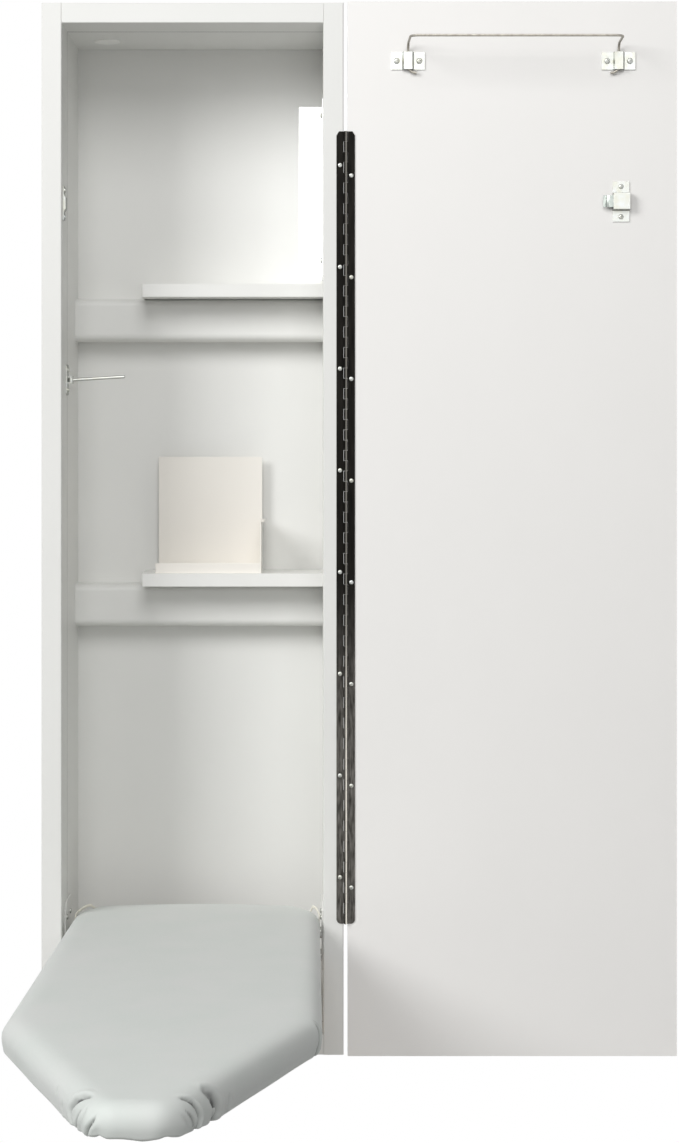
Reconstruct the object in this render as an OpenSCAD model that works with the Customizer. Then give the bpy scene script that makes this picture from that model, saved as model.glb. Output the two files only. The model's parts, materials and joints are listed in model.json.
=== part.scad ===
// Ironing board cabinet with a mirror door, shown with its door folded flat
// open and its board lowered.  Millimetres, +X right, +Y into the wall, +Z up.
// The origin is the centre of the back face, which lies against the wall.

/* [Cabinet] */
// Outer width of the front frame
cab_w = 359; // [350:1:420]
// Outer height of the front frame
cab_h = 1250; // [1230:1:1400]
// Overall depth from the wall to the front face
cab_d = 204; // [196:1:240]
// Width of the frame members seen from the front
frame_w = 24; // [20:0.5:28]
// Depth of the front frame that stands in front of the rear box
frame_d = 63.5; // [58:0.5:72]
// Thickness of the rear box's panels
panel_t = 16; // [12:0.5:19]
// Thickness of the back panel
back_t = 6; // [3:0.5:9]
// Eased edge on the frame members
ease = 1; // [0.5:0.1:2]

/* [Rails and shelves] */
// Height of each moulded rail on the back
cleat_h = 53; // [40:1:70]
// How far each rail stands out from the back panel
cleat_t = 38; // [19:1:45]
// Radius of the rails' rounded front edges
cleat_r = 9; // [4:0.5:16]
// Underside of the upper rail above the centre of the back
upper_cleat_z = 229; // [200:1:260]
// Underside of the lower rail above the centre of the back
lower_cleat_z = -129; // [-160:1:-100]
// Thickness of the shelves
shelf_t = 16; // [12:0.5:20]
// Length of the shelves from the right wall
shelf_l = 224.5; // [200:0.5:260]
// Depth of the shelves from the back panel
shelf_depth = 86; // [70:1:94]
// Radius of the rounded shelf corners
shelf_r = 3; // [1:0.5:6]
// Diameter of the blanking plug in the ceiling
plug_d = 33; // [26:1:42]

/* [Heat shield] */
// Height of the heat shield
shield_h = 220; // [150:1:240]
// Width of the leg that lies on the back panel
shield_back_w = 30; // [15:1:60]
// Sheet thickness of the heat shield
shield_t = 1; // [0.6:0.1:2]

/* [Iron holder] */
// Width of the holder
holder_w = 131; // [110:1:150]
// Height of the holder's back plate
holder_h = 143.5; // [110:0.5:170]
// Depth of the holder's tray
holder_depth = 67; // [50:1:76]
// Height of the holder's side cheek
holder_cheek_h = 65; // [40:1:90]
// Height of the holder's front lip
holder_lip = 12.5; // [8:0.5:20]
// Sheet thickness of the holder
holder_t = 1.5; // [1:0.1:2.5]

/* [Door] */
// Width of the door
door_w = 391; // [370:1:440]
// How much taller the door is than the front frame
door_over = 3; // [0:0.5:8]
// Thickness of the door board
door_t = 16; // [12:0.5:20]
// Thickness of the mirror glass
mirror_t = 4; // [3:0.5:6]
// Thickness of the mirror tape
tape_t = 1; // [0.5:0.1:2]
// Margin of bare board round the mirror
mirror_margin = 2; // [1:0.5:10]

/* [Continuous hinge] */
// Length of the hinge
hinge_l = 941; // [800:1:1180]
// Number of knuckles, odd so that both ends belong to the frame leaf
knuckles = 77; // [41:2:91]
// Outer diameter of the knuckles
knuckle_d = 4.6; // [4.2:0.1:5.4]
// Diameter of the hinge pin
hinge_pin_d = 2.5; // [2:0.1:2.8]
// Thickness of the leaves
leaf_t = 1; // [0.8:0.1:1.3]
// Reach of each leaf from the pin's axis
leaf_reach = 11; // [10:0.5:13]
// Screws along each leaf
hinge_screws = 8; // [4:1:10]

/* [Garment bar] */
// Distance between the bar's two brackets
bar_span = 250; // [180:1:290]
// How far the bar stands out from the door
bar_out = 56; // [30:1:58]
// Diameter of the bar's wire
bar_wire_d = 3; // [2:0.5:4]

/* [Board] */
// Gap from the left wall to the covered board
board_gap_l = 10; // [10:0.5:14]
// Gap from the right wall to the covered board
board_gap_r = 4; // [4:0.5:8]
// Length of the covered board in front of its pivot
board_reach = 1031; // [900:1:1040]
// Length of the covered board behind its pivot
board_tail = 32; // [26:1:36]
// Distance from the pivot to the start of the taper
taper_start = 691; // [600:1:740]
// Width of the covered nose
nose_w = 74; // [60:1:110]
// Slope of the lowered board
board_slope = 3; // [0:0.5:4]
// Depth of the board's pivot behind the front face
pivot_depth = 66; // [64:1:68]
// Height of the pivot above the cabinet's floor
pivot_z = 107.5; // [100:0.5:115]
// Diameter of the pivot bolts
pivot_d = 8; // [6:0.5:9]
// Height of the covered top above the pivot
board_top = 31; // [30:0.5:32]
// Thickness of the wooden board
core_t = 12; // [9:0.5:13]
// Thickness of the felt pad
pad_t = 6.7; // [4:0.1:7]
// Thickness of the fabric cover
cover_t = 2; // [1.5:0.1:2.2]
// Height of the cover's skirt
skirt_h = 33; // [28:0.5:34]

/* [Support leg] */
// Distance from the board's pivot to the leg's pivot
leg_at = 250; // [230:1:270]
// Diameter of the leg's tube
leg_d = 12; // [8:0.5:13]

/* [Retaining rod] */
// Length of the retaining rod from its pivot
rod_l = 66; // [40:1:90]
// Diameter of the retaining rod
rod_d = 3.8; // [3:0.1:4]

/* [Mounting] */
// Diameter of the holes for the stud screws
stud_hole_d = 5.2; // [4:0.1:6]
// Spacing of the stud screws from front to back
stud_dx = 70; // [40:1:80]
// Spacing of the stud screws from top to bottom
stud_dz = 1080; // [1000:1:1120]

/* [Hidden] */

$fn = 48;
eps = 0.01;
fit = 0.05;      // radial clearance of a running fit
seat = 0.3;      // clearance beside a soft piece

white = [0.89, 0.89, 0.875];
cream = [0.87, 0.855, 0.82];
zinc = [0.78, 0.81, 0.8];
dark_steel = [0.17, 0.16, 0.15];
cloth = [0.8, 0.805, 0.795];

wall_x = cab_w / 2 - frame_w;             // inner face of the walls
ceil_z = cab_h / 2 - frame_w;             // inner face of the ceiling
front_y = -cab_d;                         // front face of the frame
seam_y = front_y + frame_d;               // where the frame meets the rear box
back_y = -back_t;                         // inner face of the back panel
door_h = cab_h + door_over;
box_z = ceil_z + panel_t;                 // outer height of the rear box
box_x = wall_x + panel_t;                 // outer width of the rear box

pin_x = cab_w / 2 + 2.5;                  // axis of the door hinge
pin_y = front_y - knuckle_d / 2;
door_x0 = pin_x + 2.4;                    // hinge edge of the door
hinge_z = 1.5;                            // middle of the hinge
hinge_screw_x = 6.6;                      // screws beside the pin
knuckle_p = hinge_l / knuckles;
hinge_end = 47.7;                         // bare leaf beyond the rows of screws
hinge_screw_p = (hinge_l - 2 * hinge_end) / (hinge_screws - 1);

board_w = 2 * wall_x - board_gap_l - board_gap_r;
board_x = (board_gap_l - board_gap_r) / 2;
pivot_y = front_y + pivot_depth;
pivot_h = -ceil_z + pivot_z;
core_top = board_top - cover_t - pad_t - 2 * seat;
core_bot = core_top - core_t;
skirt_bot = board_top - skirt_h;
skirt_end = -24;                          // the side skirts stop ahead of the pivot
rail_t = 2;
rail_inset = 8.5;
rail_x = board_w / 2 - rail_inset;        // outer face of the board's steel rails
plate_t = 2;

// ---------------------------------------------------------------- helpers

// Pan-head screw along +Z, its head's underside at z = 0 and its shank below
module pan_screw(head_d, head_h, shank_d, shank_l) {
    rotate_extrude()
        polygon([[0, 0], [head_d / 2, 0], [head_d / 2, head_h * 0.35], [head_d * 0.36, head_h * 0.85],
                 [head_d * 0.18, head_h], [0, head_h]]);
    translate([0, 0, -shank_l]) cylinder(d = shank_d, h = shank_l + eps);
}

// The pilot hole that a pan_screw sits in
module pilot(shank_d, shank_l) {
    translate([0, 0, -shank_l - 1]) cylinder(d = shank_d + 2 * fit, h = shank_l + 1 + 40);
}

// A wire of radius r swept along a path, its corners bent to the radius bend
module wire(path, r, bend, sides = 12) {
    line = bent_path(path, bend);
    frames = carried_frames(line, 0, across(line[1] - line[0]));
    n = len(line);
    points = [for (i = [0 : n - 1], k = [0 : sides - 1]) let (a = 360 * k / sides)
        line[i] + r * (frames[i][0] * cos(a) + frames[i][1] * sin(a))];
    sleeve = [for (i = [0 : n - 2], k = [0 : sides - 1]) let (p = i * sides + k, q = i * sides + (k + 1) % sides)
        each [[p, q, p + sides], [q, q + sides, p + sides]]];
    ends = [for (k = [1 : sides - 2]) each
        [[0, k + 1, k], [(n - 1) * sides, (n - 1) * sides + k, (n - 1) * sides + k + 1]]];
    polyhedron(points, concat(sleeve, ends), convexity = 4);
}

function unit(v) = v / norm(v);

// An axis that lies well across v
function across(v) = abs(v[2]) < 0.9 * norm(v) ? [0, 0, 1] : [1, 0, 0];

// The path with each inner corner replaced by points on its bend
function bent_path(path, bend) = concat([path[0]],
    [for (i = [1 : len(path) - 2]) each bend_points(path[i - 1], path[i], path[i + 1], bend)],
    [path[len(path) - 1]]);

function bend_points(a, b, c, bend, steps = 5) = let (u = unit(b - a), w = unit(c - b),
    angle = acos(u * w), cut = bend * tan(angle / 2), axis = b + unit(w - u) * bend / cos(angle / 2),
    from = b - u * cut - axis) [for (k = [0 : steps]) let (t = angle * k / steps)
        axis + from * cos(t) + u * bend * sin(t)];

// A pair of cross directions at each point, carried along so that the wire doesn't twist
function carried_frames(line, i, x) = i == len(line) ? [] : let (
    t = unit(line[min(i + 1, len(line) - 1)] - line[max(i - 1, 0)]), x1 = unit(x - t * (x * t)))
    concat([[x1, cross(t, x1)]], carried_frames(line, i + 1, x1));

// A straight rod between two points
module rod(a, b, r) {
    v = b - a;
    translate(a) rotate([0, acos(v[2] / norm(v)), atan2(v[1], v[0])]) cylinder(r = r, h = norm(v), $fn = 32);
}

// A rectangle with rounded corners, from its lower left corner
module round_rect(w, h, r) {
    hull() for (x = [r, w - r], y = [r, h - r]) translate([x, y]) circle(r = r, $fn = 24);
}

// Turn a drawing in X and Y so that its Y runs up and its extrusion runs along -Y
module upright() {
    rotate([90, 0, 0]) children();
}

// Place children on the left wall, with their +Z pointing into the cabinet
module on_left_wall(depth, z) {
    translate([-wall_x, front_y + depth, z]) rotate([0, 90, 0]) children();
}

// Place children on the right wall, with their +Z pointing into the cabinet
module on_right_wall(depth, z) {
    translate([wall_x, front_y + depth, z]) rotate([0, -90, 0]) children();
}

// Place children on the front plane, with their +Z pointing at the viewer
module on_front(x, z) {
    translate([x, front_y, z]) rotate([90, 0, 0]) children();
}

// ---------------------------------------------------------------- front frame

// Section of an upright member: eased front corners and a fine groove at the seam
module stile_section() {
    polygon([[0, ease], [ease, 0], [frame_w - ease, 0], [frame_w, ease],
             [frame_w, frame_d - ease], [frame_w - ease, frame_d], [0, frame_d]]);
}

module frame_left_stile() {
    color(white) difference() {
        translate([-cab_w / 2, front_y, -cab_h / 2]) linear_extrude(cab_h) stile_section();
        for (z = strike_screw_z) on_left_wall(strike_depth, z) pilot(screw_d, strike_screw_l);
        for (z = rod_screw_z) on_left_wall(rod_depth, z) pilot(screw_d, strike_screw_l);
        for (z = plate_screw_z) on_left_wall(plate_screw_depth, pivot_h + z) pilot(screw_d, plate_screw_l);
    }
}

module frame_right_stile() {
    color(white) difference() {
        translate([cab_w / 2, front_y, -cab_h / 2]) linear_extrude(cab_h) mirror([1, 0]) stile_section();
        for (z = hinge_frame_screw_z) on_front(pin_x - hinge_screw_x, z) pilot(hinge_screw_d, hinge_screw_l);
        for (z = plate_screw_z) on_right_wall(plate_screw_depth, pivot_h + z) pilot(screw_d, plate_screw_l);
    }
}

// A cross member between the stiles, its inner face at z = 0
module frame_rail(down) {
    translate([-wall_x, front_y, 0]) rotate([90, 0, 90]) linear_extrude(2 * wall_x)
        mirror([0, down])
            polygon([[ease, 0], [0, ease], [0, frame_w - ease], [ease, frame_w], [frame_d, frame_w],
                     [frame_d, ease], [frame_d - ease, 0]]);
}

module frame_top_rail() {
    color(white) translate([0, 0, ceil_z]) frame_rail(0);
}

module frame_bottom_rail() {
    color(white) translate([0, 0, -ceil_z]) frame_rail(1);
}

// ---------------------------------------------------------------- rear box

stud_y = (seam_y + back_y) / 2;           // middle of the stud screws in depth

module stud_holes(x) {
    for (y = [stud_y - stud_dx / 2, stud_y + stud_dx / 2], z = [-stud_dz / 2, stud_dz / 2])
        translate([x, y, z]) rotate([0, 90, 0]) cylinder(d = stud_hole_d, h = 3 * panel_t, center = true);
}

module side_panel(x) {
    difference() {
        translate([x, seam_y, -box_z]) cube([panel_t, -back_t - seam_y, 2 * box_z]);
        stud_holes(x + panel_t / 2);
    }
}

module left_side() {
    color(white) difference() {
        side_panel(-box_x);
        for (z = plate_screw_z) on_left_wall(plate_back_screw_depth, pivot_h + z) pilot(screw_d, plate_screw_l);
    }
}

module right_side() {
    color(white) difference() {
        side_panel(wall_x);
        for (z = plate_screw_z) on_right_wall(plate_back_screw_depth, pivot_h + z) pilot(screw_d, plate_screw_l);
        for (z = shield_screw_z) on_right_wall(shield_screw_depth, z) pilot(screw_d, plate_screw_l);
    }
}

module top_panel() {
    color(white) difference() {
        translate([-wall_x, seam_y, ceil_z]) cube([2 * wall_x, -back_t - seam_y, panel_t]);
        translate([plug_x, plug_y, ceil_z - 1]) cylinder(d = plug_d - 6, h = panel_t + 2);
    }
}

module bottom_panel() {
    color(white) difference() {
        translate([-wall_x, seam_y, -box_z]) cube([2 * wall_x, -back_t - seam_y, panel_t]);
        for (x = leg_seat_screw_x) translate([x, leg_seat_screw_y, -ceil_z]) pilot(screw_d, 10);
    }
}

module back_panel() {
    color(white) translate([-box_x, back_y, -box_z]) cube([2 * box_x, back_t, 2 * box_z]);
}

// ---------------------------------------------------------------- rails and shelves

// Moulded rail with rounded front edges
module cleat(z) {
    color(white) translate([-wall_x, back_y, z]) rotate([90, 0, 90]) linear_extrude(2 * wall_x)
        union() {
            translate([-cleat_t + cleat_r, 0]) square([cleat_t - cleat_r, cleat_h]);
            translate([-cleat_t, cleat_r]) square([cleat_t, cleat_h - 2 * cleat_r]);
            for (h = [cleat_r, cleat_h - cleat_r]) translate([-cleat_t + cleat_r, h]) circle(r = cleat_r);
        }
}

module upper_cleat() {
    cleat(upper_cleat_z);
}

module lower_cleat() {
    cleat(lower_cleat_z);
}

upper_shelf_z = upper_cleat_z + cleat_h;   // underside of the upper shelf
lower_shelf_z = lower_cleat_z + cleat_h;   // underside of the lower shelf
shelf_x = wall_x - shelf_l;

// Shelf that rests on a rail, with its free end's front corner rounded
module shelf(z) {
    color(white) translate([shelf_x, back_y - shelf_depth, z]) difference() {
        cube([shelf_l, shelf_depth, shelf_t]);
        translate([-eps, -eps, -1]) difference() {
            cube([shelf_r, shelf_r, shelf_t + 2]);
            translate([shelf_r, shelf_r, -1]) cylinder(r = shelf_r, h = shelf_t + 4);
        }
    }
}

module upper_shelf() {
    shelf(upper_shelf_z);
}

module lower_shelf() {
    difference() {
        shelf(lower_shelf_z);
        for (x = holder_screw_x) translate([x, holder_screw_y, lower_shelf_z + shelf_t]) pilot(screw_d, 10);
    }
}

plug_x = -113;
plug_depth = 132;
plug_y = front_y + plug_depth;

module hole_plug() {
    color(white) translate([plug_x, plug_y, ceil_z]) rotate_extrude()
        polygon([[0, -1], [plug_d / 2 - 2, -1.8], [plug_d / 2, -0.8], [plug_d / 2, 0],
                 [plug_d / 2 - 3 - fit, 0], [plug_d / 2 - 3 - fit, 9], [plug_d / 2 - 4.5, 10],
                 [plug_d / 2 - 4.5, 0.6], [0, 0.6]]);
}

// ---------------------------------------------------------------- heat shield

shield_z = upper_shelf_z + shelf_t + 10;
shield_depth = shelf_depth - 6;
shield_screw_z = [shield_z + 20, shield_z + shield_h - 20];
shield_screw_depth = cab_d - back_t - shield_depth + 12;

// Bright sheet folded round the back right corner of the iron's compartment
module heat_shield() {
    color([0.95, 0.95, 0.95]) difference() {
        translate([wall_x, back_y, shield_z]) linear_extrude(shield_h)
            union() {
                translate([-shield_t, -shield_depth]) square([shield_t, shield_depth]);
                translate([-shield_back_w, -shield_t]) square([shield_back_w, shield_t]);
            }
        for (z = shield_screw_z) on_right_wall(shield_screw_depth, z)
            translate([0, 0, shield_t]) pilot(screw_d, 4);
    }
}

module heat_shield_screws() {
    color(zinc) for (z = shield_screw_z) on_right_wall(shield_screw_depth, z)
        translate([0, 0, shield_t]) pan_screw(7, 2.2, screw_d, 11);
}

// ---------------------------------------------------------------- iron holder

holder_gap = 76.5;                        // from the right wall to the holder
holder_x = wall_x - holder_gap - holder_w;
holder_z = lower_shelf_z + shelf_t;       // top of the lower shelf
holder_y = back_y - 13;                   // back of the holder's upright plate
holder_screw_x = [holder_x + 30, holder_x + holder_w - 30];
holder_screw_y = holder_y - holder_depth / 2;

// Tray bent from one sheet: tall back, front lip, and a cheek with an outward flange
module iron_holder() {
    color(cream) difference() {
        translate([holder_x, holder_y, holder_z]) union() {
            translate([0, -holder_depth, 0]) cube([holder_w, holder_depth, holder_t]);
            translate([0, -holder_t, 0]) cube([holder_w, holder_t, holder_h]);
            translate([0, -holder_depth, 0]) cube([holder_w, holder_t, holder_lip]);
            translate([holder_w - holder_t, -holder_depth, 0]) cube([holder_t, holder_depth, holder_cheek_h]);
            translate([holder_w - holder_t, -holder_depth, holder_cheek_h - holder_t])
                cube([5.5, holder_depth, holder_t]);
        }
        for (x = holder_screw_x) translate([x, holder_screw_y, holder_z + holder_t]) pilot(screw_d, 4);
    }
}

module iron_holder_screws() {
    color(zinc) for (x = holder_screw_x) translate([x, holder_screw_y, holder_z + holder_t])
        pan_screw(7, 2.2, screw_d, 10);
}

// ---------------------------------------------------------------- strike and retaining rod

screw_d = 3.2;
strike_z = 388.5;
strike_depth = 22;
strike_h = 41;
strike_w = 15;
strike_screw_l = 12;
strike_screw_z = [strike_z - 16, strike_z + 16];

// Section of the strike along its height: flat ends and a raised hump
module strike_plate() {
    hump = 3.2;
    color(zinc) difference() {
        translate([-wall_x, front_y + strike_depth + strike_w / 2, strike_z]) rotate([90, 0, 0])
            linear_extrude(strike_w) polygon([
                [0, -strike_h / 2], [1.2, -strike_h / 2], [1.2, -10], [hump, -7], [hump, 7], [1.2, 10],
                [1.2, strike_h / 2], [0, strike_h / 2]]);
        for (z = strike_screw_z) on_left_wall(strike_depth, z) pilot(screw_d, 4);
    }
}

module strike_screws() {
    color(zinc) for (z = strike_screw_z) on_left_wall(strike_depth, z)
        translate([0, 0, 1.2]) pan_screw(6, 1.8, screw_d, 11);
}

rod_z = 178;
rod_depth = 60;                            // middle of the bracket's plate
rod_pin_depth = 57;                        // axis that the rod turns about
rod_pin_x = -wall_x + 5.2;
rod_pin_y = front_y + rod_pin_depth;
rod_pin_r = 1.5;
rod_eye_h = 5;
rod_screw_z = [rod_z - 12, rod_z + 12.3];
rod_rise = 4;

// Plate with two ears that hold an upright pin
module rod_bracket() {
    plate_h = 37;
    plate_w = 18;
    color(zinc) difference() {
        union() {
            translate([-wall_x, front_y + rod_depth + plate_w / 2, rod_z - plate_h / 2]) upright_yz()
                linear_extrude(1.2) round_rect(plate_w, plate_h, 3);
            for (z = [rod_z - rod_eye_h / 2 - 1.7, rod_z + rod_eye_h / 2 + 0.5])
                translate([-wall_x, rod_pin_y, z]) linear_extrude(1.2) union() {
                    translate([0, -3.4]) square([5.2, 6.8]);
                    translate([5.2, 0]) circle(r = 3.4);
                }
            translate([rod_pin_x, rod_pin_y, rod_z - rod_eye_h / 2 - 2.2])
                cylinder(r = rod_pin_r, h = rod_eye_h + 4.4);
        }
        for (z = rod_screw_z) on_left_wall(rod_depth, z) pilot(screw_d, 4);
    }
}

// Turn a drawing in X and Y so that it stands on the left wall: X runs to the front, Y up
module upright_yz() {
    multmatrix([[0, 0, 1, 0], [-1, 0, 0, 0], [0, 1, 0, 0], [0, 0, 0, 1]]) children();
}

module rod_bracket_screws() {
    color(zinc) for (z = rod_screw_z) on_left_wall(rod_depth, z)
        translate([0, 0, 1.2]) pan_screw(6, 1.8, screw_d, 11);
}

// Half section of a rod from start to end along Y, with a rounded tip
module tip_profile(start, end, r) {
    translate([0, start]) square([r, end - r - start]);
    translate([0, end - r]) intersection() {
        circle(r = r);
        square([r, r]);
    }
}

// Rod with an eye that turns about the bracket's pin
module retainer_rod() {
    color(zinc) difference() {
        union() {
            translate([rod_pin_x, rod_pin_y, rod_z - rod_eye_h / 2]) cylinder(r = 3.3, h = rod_eye_h);
            translate([rod_pin_x, rod_pin_y, rod_z]) rotate([0, 90 - atan(rod_rise / rod_l), 0])
                rotate_extrude($fn = 32) tip_profile(2.4, rod_l, rod_d / 2);
        }
        translate([rod_pin_x, rod_pin_y, rod_z - 10]) cylinder(r = rod_pin_r + fit, h = 20);
    }
}

// ---------------------------------------------------------------- board pivots

plate_front = 32;                          // front edge of the pivot plates, as a depth
plate_back = 90;
plate_up = 42;                             // reach above and below the pivot
plate_down = 38;
plate_screw_z = [-26, 23.5];
plate_screw_depth = 42;
plate_back_screw_depth = 80;
plate_screw_l = 12;

// Steel plate on a side wall that carries one of the board's pivot bolts
module pivot_plate() {
    difference() {
        linear_extrude(plate_t) polygon([
            [plate_front, -plate_down], [plate_back, -plate_down], [plate_back, plate_up],
            [plate_front + 14, plate_up], [plate_front, plate_up - 9]]);
        for (x = [plate_screw_depth, plate_back_screw_depth], y = plate_screw_z)
            translate([x, y, -1]) cylinder(d = screw_d + 2 * fit, h = plate_t + 2);
        translate([pivot_depth, 0, -1]) cylinder(d = pivot_d, h = plate_t + 2);
    }
}

// Turn a plate drawn with X as depth and Y as height onto a side wall
module plate_on_wall(side) {
    translate([side * wall_x, front_y, pivot_h])
        multmatrix([[0, 0, -side, 0], [1, 0, 0, 0], [0, 1, 0, 0], [0, 0, 0, 1]]) children();
}

module pivot_plate_left() {
    color(white) plate_on_wall(-1) pivot_plate();
}

module pivot_plate_right() {
    color(white) plate_on_wall(1) pivot_plate();
}

module pivot_plate_screws() {
    color(zinc) for (side = [-1, 1], d = [plate_screw_depth, plate_back_screw_depth], z = plate_screw_z)
        plate_on_wall(side) translate([d, z, plate_t]) pan_screw(6.4, 1.6, screw_d, 11);
}

// Bolt with a shoulder between the plate and the board's rail, a neck through the rail and a nut
module pivot_bolt(gap) {
    translate([0, 0, -plate_t]) cylinder(d = pivot_d, h = plate_t + gap + rail_t + 4);
    cylinder(d = pivot_d + 5.5, h = gap - seat);
    translate([0, 0, gap + rail_t + seat]) cylinder(d = pivot_d * 1.5 / cos(30), h = 3.5, $fn = 6);
}

module pivot_bolts() {
    left_gap = wall_x - plate_t + board_x - rail_x;
    right_gap = wall_x - plate_t - board_x - rail_x;
    color(zinc) {
        plate_on_wall(-1) translate([pivot_depth, 0, plate_t]) pivot_bolt(left_gap);
        plate_on_wall(1) translate([pivot_depth, 0, plate_t]) pivot_bolt(right_gap);
    }
}

// ---------------------------------------------------------------- continuous hinge

hinge_screw_d = 2.4;
hinge_screw_l = 11;
hinge_top_z = hinge_z + hinge_l / 2;
hinge_first = 40.2;                        // first screw below the hinge's top
hinge_frame_screw_z = [for (i = [0 : hinge_screws - 1]) hinge_top_z - hinge_first - i * hinge_screw_p];
hinge_door_screw_z = [for (z = hinge_frame_screw_z) z - knuckle_p];
knuckle_gap = 0.3;

// Flat leaf that lies on the surface, from the pin outwards, with its outer corners shaped
module leaf_plate() {
    clear = knuckle_d / 2 + 0.3;
    corner = 5.5;
    translate([0, 0, -hinge_l / 2]) multmatrix([[1, 0, 0, 0], [0, 0, 1, 0], [0, 1, 0, 0], [0, 0, 0, 1]])
        translate([0, 0, knuckle_d / 2 - leaf_t]) linear_extrude(leaf_t) difference() {
            polygon([[clear, 0], [leaf_reach, 0], [leaf_reach, hinge_l - 5],
                     [leaf_reach - 3, hinge_l], [clear, hinge_l]]);
            difference() {
                translate([leaf_reach - corner, 0]) square(corner);
                translate([leaf_reach - corner, corner]) circle(r = corner);
            }
        }
}

// One knuckle, curled up from the leaf and round the pin
module knuckle(i) {
    translate([0, 0, -hinge_l / 2 + i * knuckle_p + knuckle_gap / 2]) linear_extrude(knuckle_p - knuckle_gap)
        difference() {
            union() {
                circle(d = knuckle_d, $fn = 32);
                translate([0, knuckle_d / 2 - leaf_t]) square([knuckle_d / 2 + 0.4, leaf_t]);
            }
            circle(r = hinge_pin_d / 2 + fit, $fn = 32);
        }
}

module hinge_leaf(first, screws_at) {
    difference() {
        union() {
            leaf_plate();
            for (i = [first : 2 : knuckles - 1]) knuckle(i);
        }
        for (z = screws_at) translate([hinge_screw_x, knuckle_d / 2 - leaf_t, z - hinge_z])
            rotate([90, 0, 0]) pilot(hinge_screw_d, 6);
    }
}

module hinge_frame_leaf() {
    color(dark_steel) translate([pin_x, pin_y, hinge_z]) mirror([1, 0, 0])
        hinge_leaf(0, hinge_frame_screw_z);
}

module hinge_door_leaf() {
    color(dark_steel) translate([pin_x, pin_y, hinge_z]) hinge_leaf(1, hinge_door_screw_z);
}

module hinge_pin() {
    color(zinc) translate([pin_x, pin_y, hinge_z - hinge_l / 2 - 0.4])
        cylinder(d = hinge_pin_d, h = hinge_l + 0.8, $fn = 32);
}

module hinge_screws_at(x, heights) {
    color(zinc) for (z = heights) on_front(x, z) translate([0, 0, leaf_t])
        pan_screw(5.4, 1.5, hinge_screw_d, hinge_screw_l);
}

module hinge_frame_screws() {
    hinge_screws_at(pin_x - hinge_screw_x, hinge_frame_screw_z);
}

module hinge_door_screws() {
    hinge_screws_at(pin_x + hinge_screw_x, hinge_door_screw_z);
}

// ---------------------------------------------------------------- door

glass_chamfer = 1.2;
tape_w = 24;
tape_end = 40;                             // bare board beyond each end of the tape

module door_panel() {
    color(white) difference() {
        translate([door_x0, front_y, -door_h / 2]) cube([door_w, door_t, door_h]);
        for (z = hinge_door_screw_z) on_front(pin_x + hinge_screw_x, z) pilot(hinge_screw_d, hinge_screw_l);
        for (x = bar_screw_x) on_front(x, bar_z) pilot(screw_d, 10);
        for (z = catch_screw_z) on_front(catch_x, z) pilot(screw_d, 10);
    }
}

module mirror_tape() {
    color([0.75, 0.75, 0.75]) for (i = [1 : 5])
        translate([door_x0 + i * door_w / 6 - tape_w / 2, front_y + door_t, -door_h / 2 + tape_end])
            cube([tape_w, tape_t, door_h - 2 * tape_end]);
}

// Mirror with a fine polished chamfer round its face
module mirror_glass() {
    w = door_w - 2 * mirror_margin;
    h = door_h - 2 * mirror_margin;
    color([0.7, 0.76, 0.78]) translate([door_x0 + mirror_margin, front_y + door_t + tape_t, -h / 2])
        intersection() {
            linear_extrude(h) chamfered_edge(w);
            rotate([90, 0, 90]) linear_extrude(w) rotate(-90) mirror([1, 0]) chamfered_edge(h);
        }
}

// Section of the glass, w wide, its chamfered face up
module chamfered_edge(w) {
    c = glass_chamfer;
    polygon([[0, 0], [w, 0], [w, mirror_t - c], [w - c, mirror_t], [c, mirror_t], [0, mirror_t - c]]);
}

// ---------------------------------------------------------------- garment bar

bar_side = 71.6;                           // from the door's hinge edge to the left bracket
bar_drop = 71;                             // from the door's top edge to the brackets
bar_x = door_x0 + bar_side;
bar_z = door_h / 2 - bar_drop;
bar_plate_w = 40;
bar_plate_h = 21;
bar_channel = 7;                           // how far the channel stands out
bar_screw_x = [bar_x - 13.5, bar_x + 13.5, bar_x + bar_span - 13.5, bar_x + bar_span + 13.5];

// Strap with flat ends and a raised channel that traps the wire
module bar_bracket(x) {
    t = 1.5;
    w = bar_plate_w / 2;
    color(zinc) difference() {
        translate([x, front_y, bar_z - bar_plate_h / 2]) linear_extrude(bar_plate_h) polygon([
            [-w, 0], [-w, -t], [-7, -t], [-5, -bar_channel], [5, -bar_channel], [7, -t], [w, -t], [w, 0],
            [5.6, 0], [3.8, -bar_channel + t], [-3.8, -bar_channel + t], [-5.6, 0]]);
        for (dx = [-13.5, 13.5]) on_front(x + dx, bar_z) pilot(screw_d, 4);
    }
}

module bar_bracket_left() {
    bar_bracket(bar_x);
}

module bar_bracket_right() {
    bar_bracket(bar_x + bar_span);
}

module bar_bracket_screws() {
    color(zinc) for (x = bar_screw_x) on_front(x, bar_z) translate([0, 0, 1.5])
        pan_screw(7, 2.2, screw_d, 10);
}

bar_bend = 9;

// Wire that hooks under both brackets, rises and stands out from the door
module garment_bar() {
    y0 = front_y - bar_channel + 1.5 + bar_wire_d / 2 + 0.1;
    foot = bar_z - bar_plate_h / 2 - 4;
    neck = bar_z + bar_plate_h / 2 + bar_bend + 1;
    inset = 1;
    right = bar_x + bar_span;
    color(zinc) wire([
        [bar_x + 10, y0, foot], [bar_x, y0, foot], [bar_x, y0, neck],
        [bar_x + inset, front_y - bar_out, neck + 1], [right - inset, front_y - bar_out, neck + 1],
        [right, y0, neck], [right, y0, foot], [right - 10, y0, foot]], bar_wire_d / 2, bar_bend);
}

// ---------------------------------------------------------------- door catch

catch_x = 2 * pin_x + wall_x - 10.5;       // it closes beside the left wall, over the strike
catch_z = strike_z;
catch_w = 20;
catch_out = 10;
catch_screw_z = [catch_z - 18, catch_z + 18];

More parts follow.
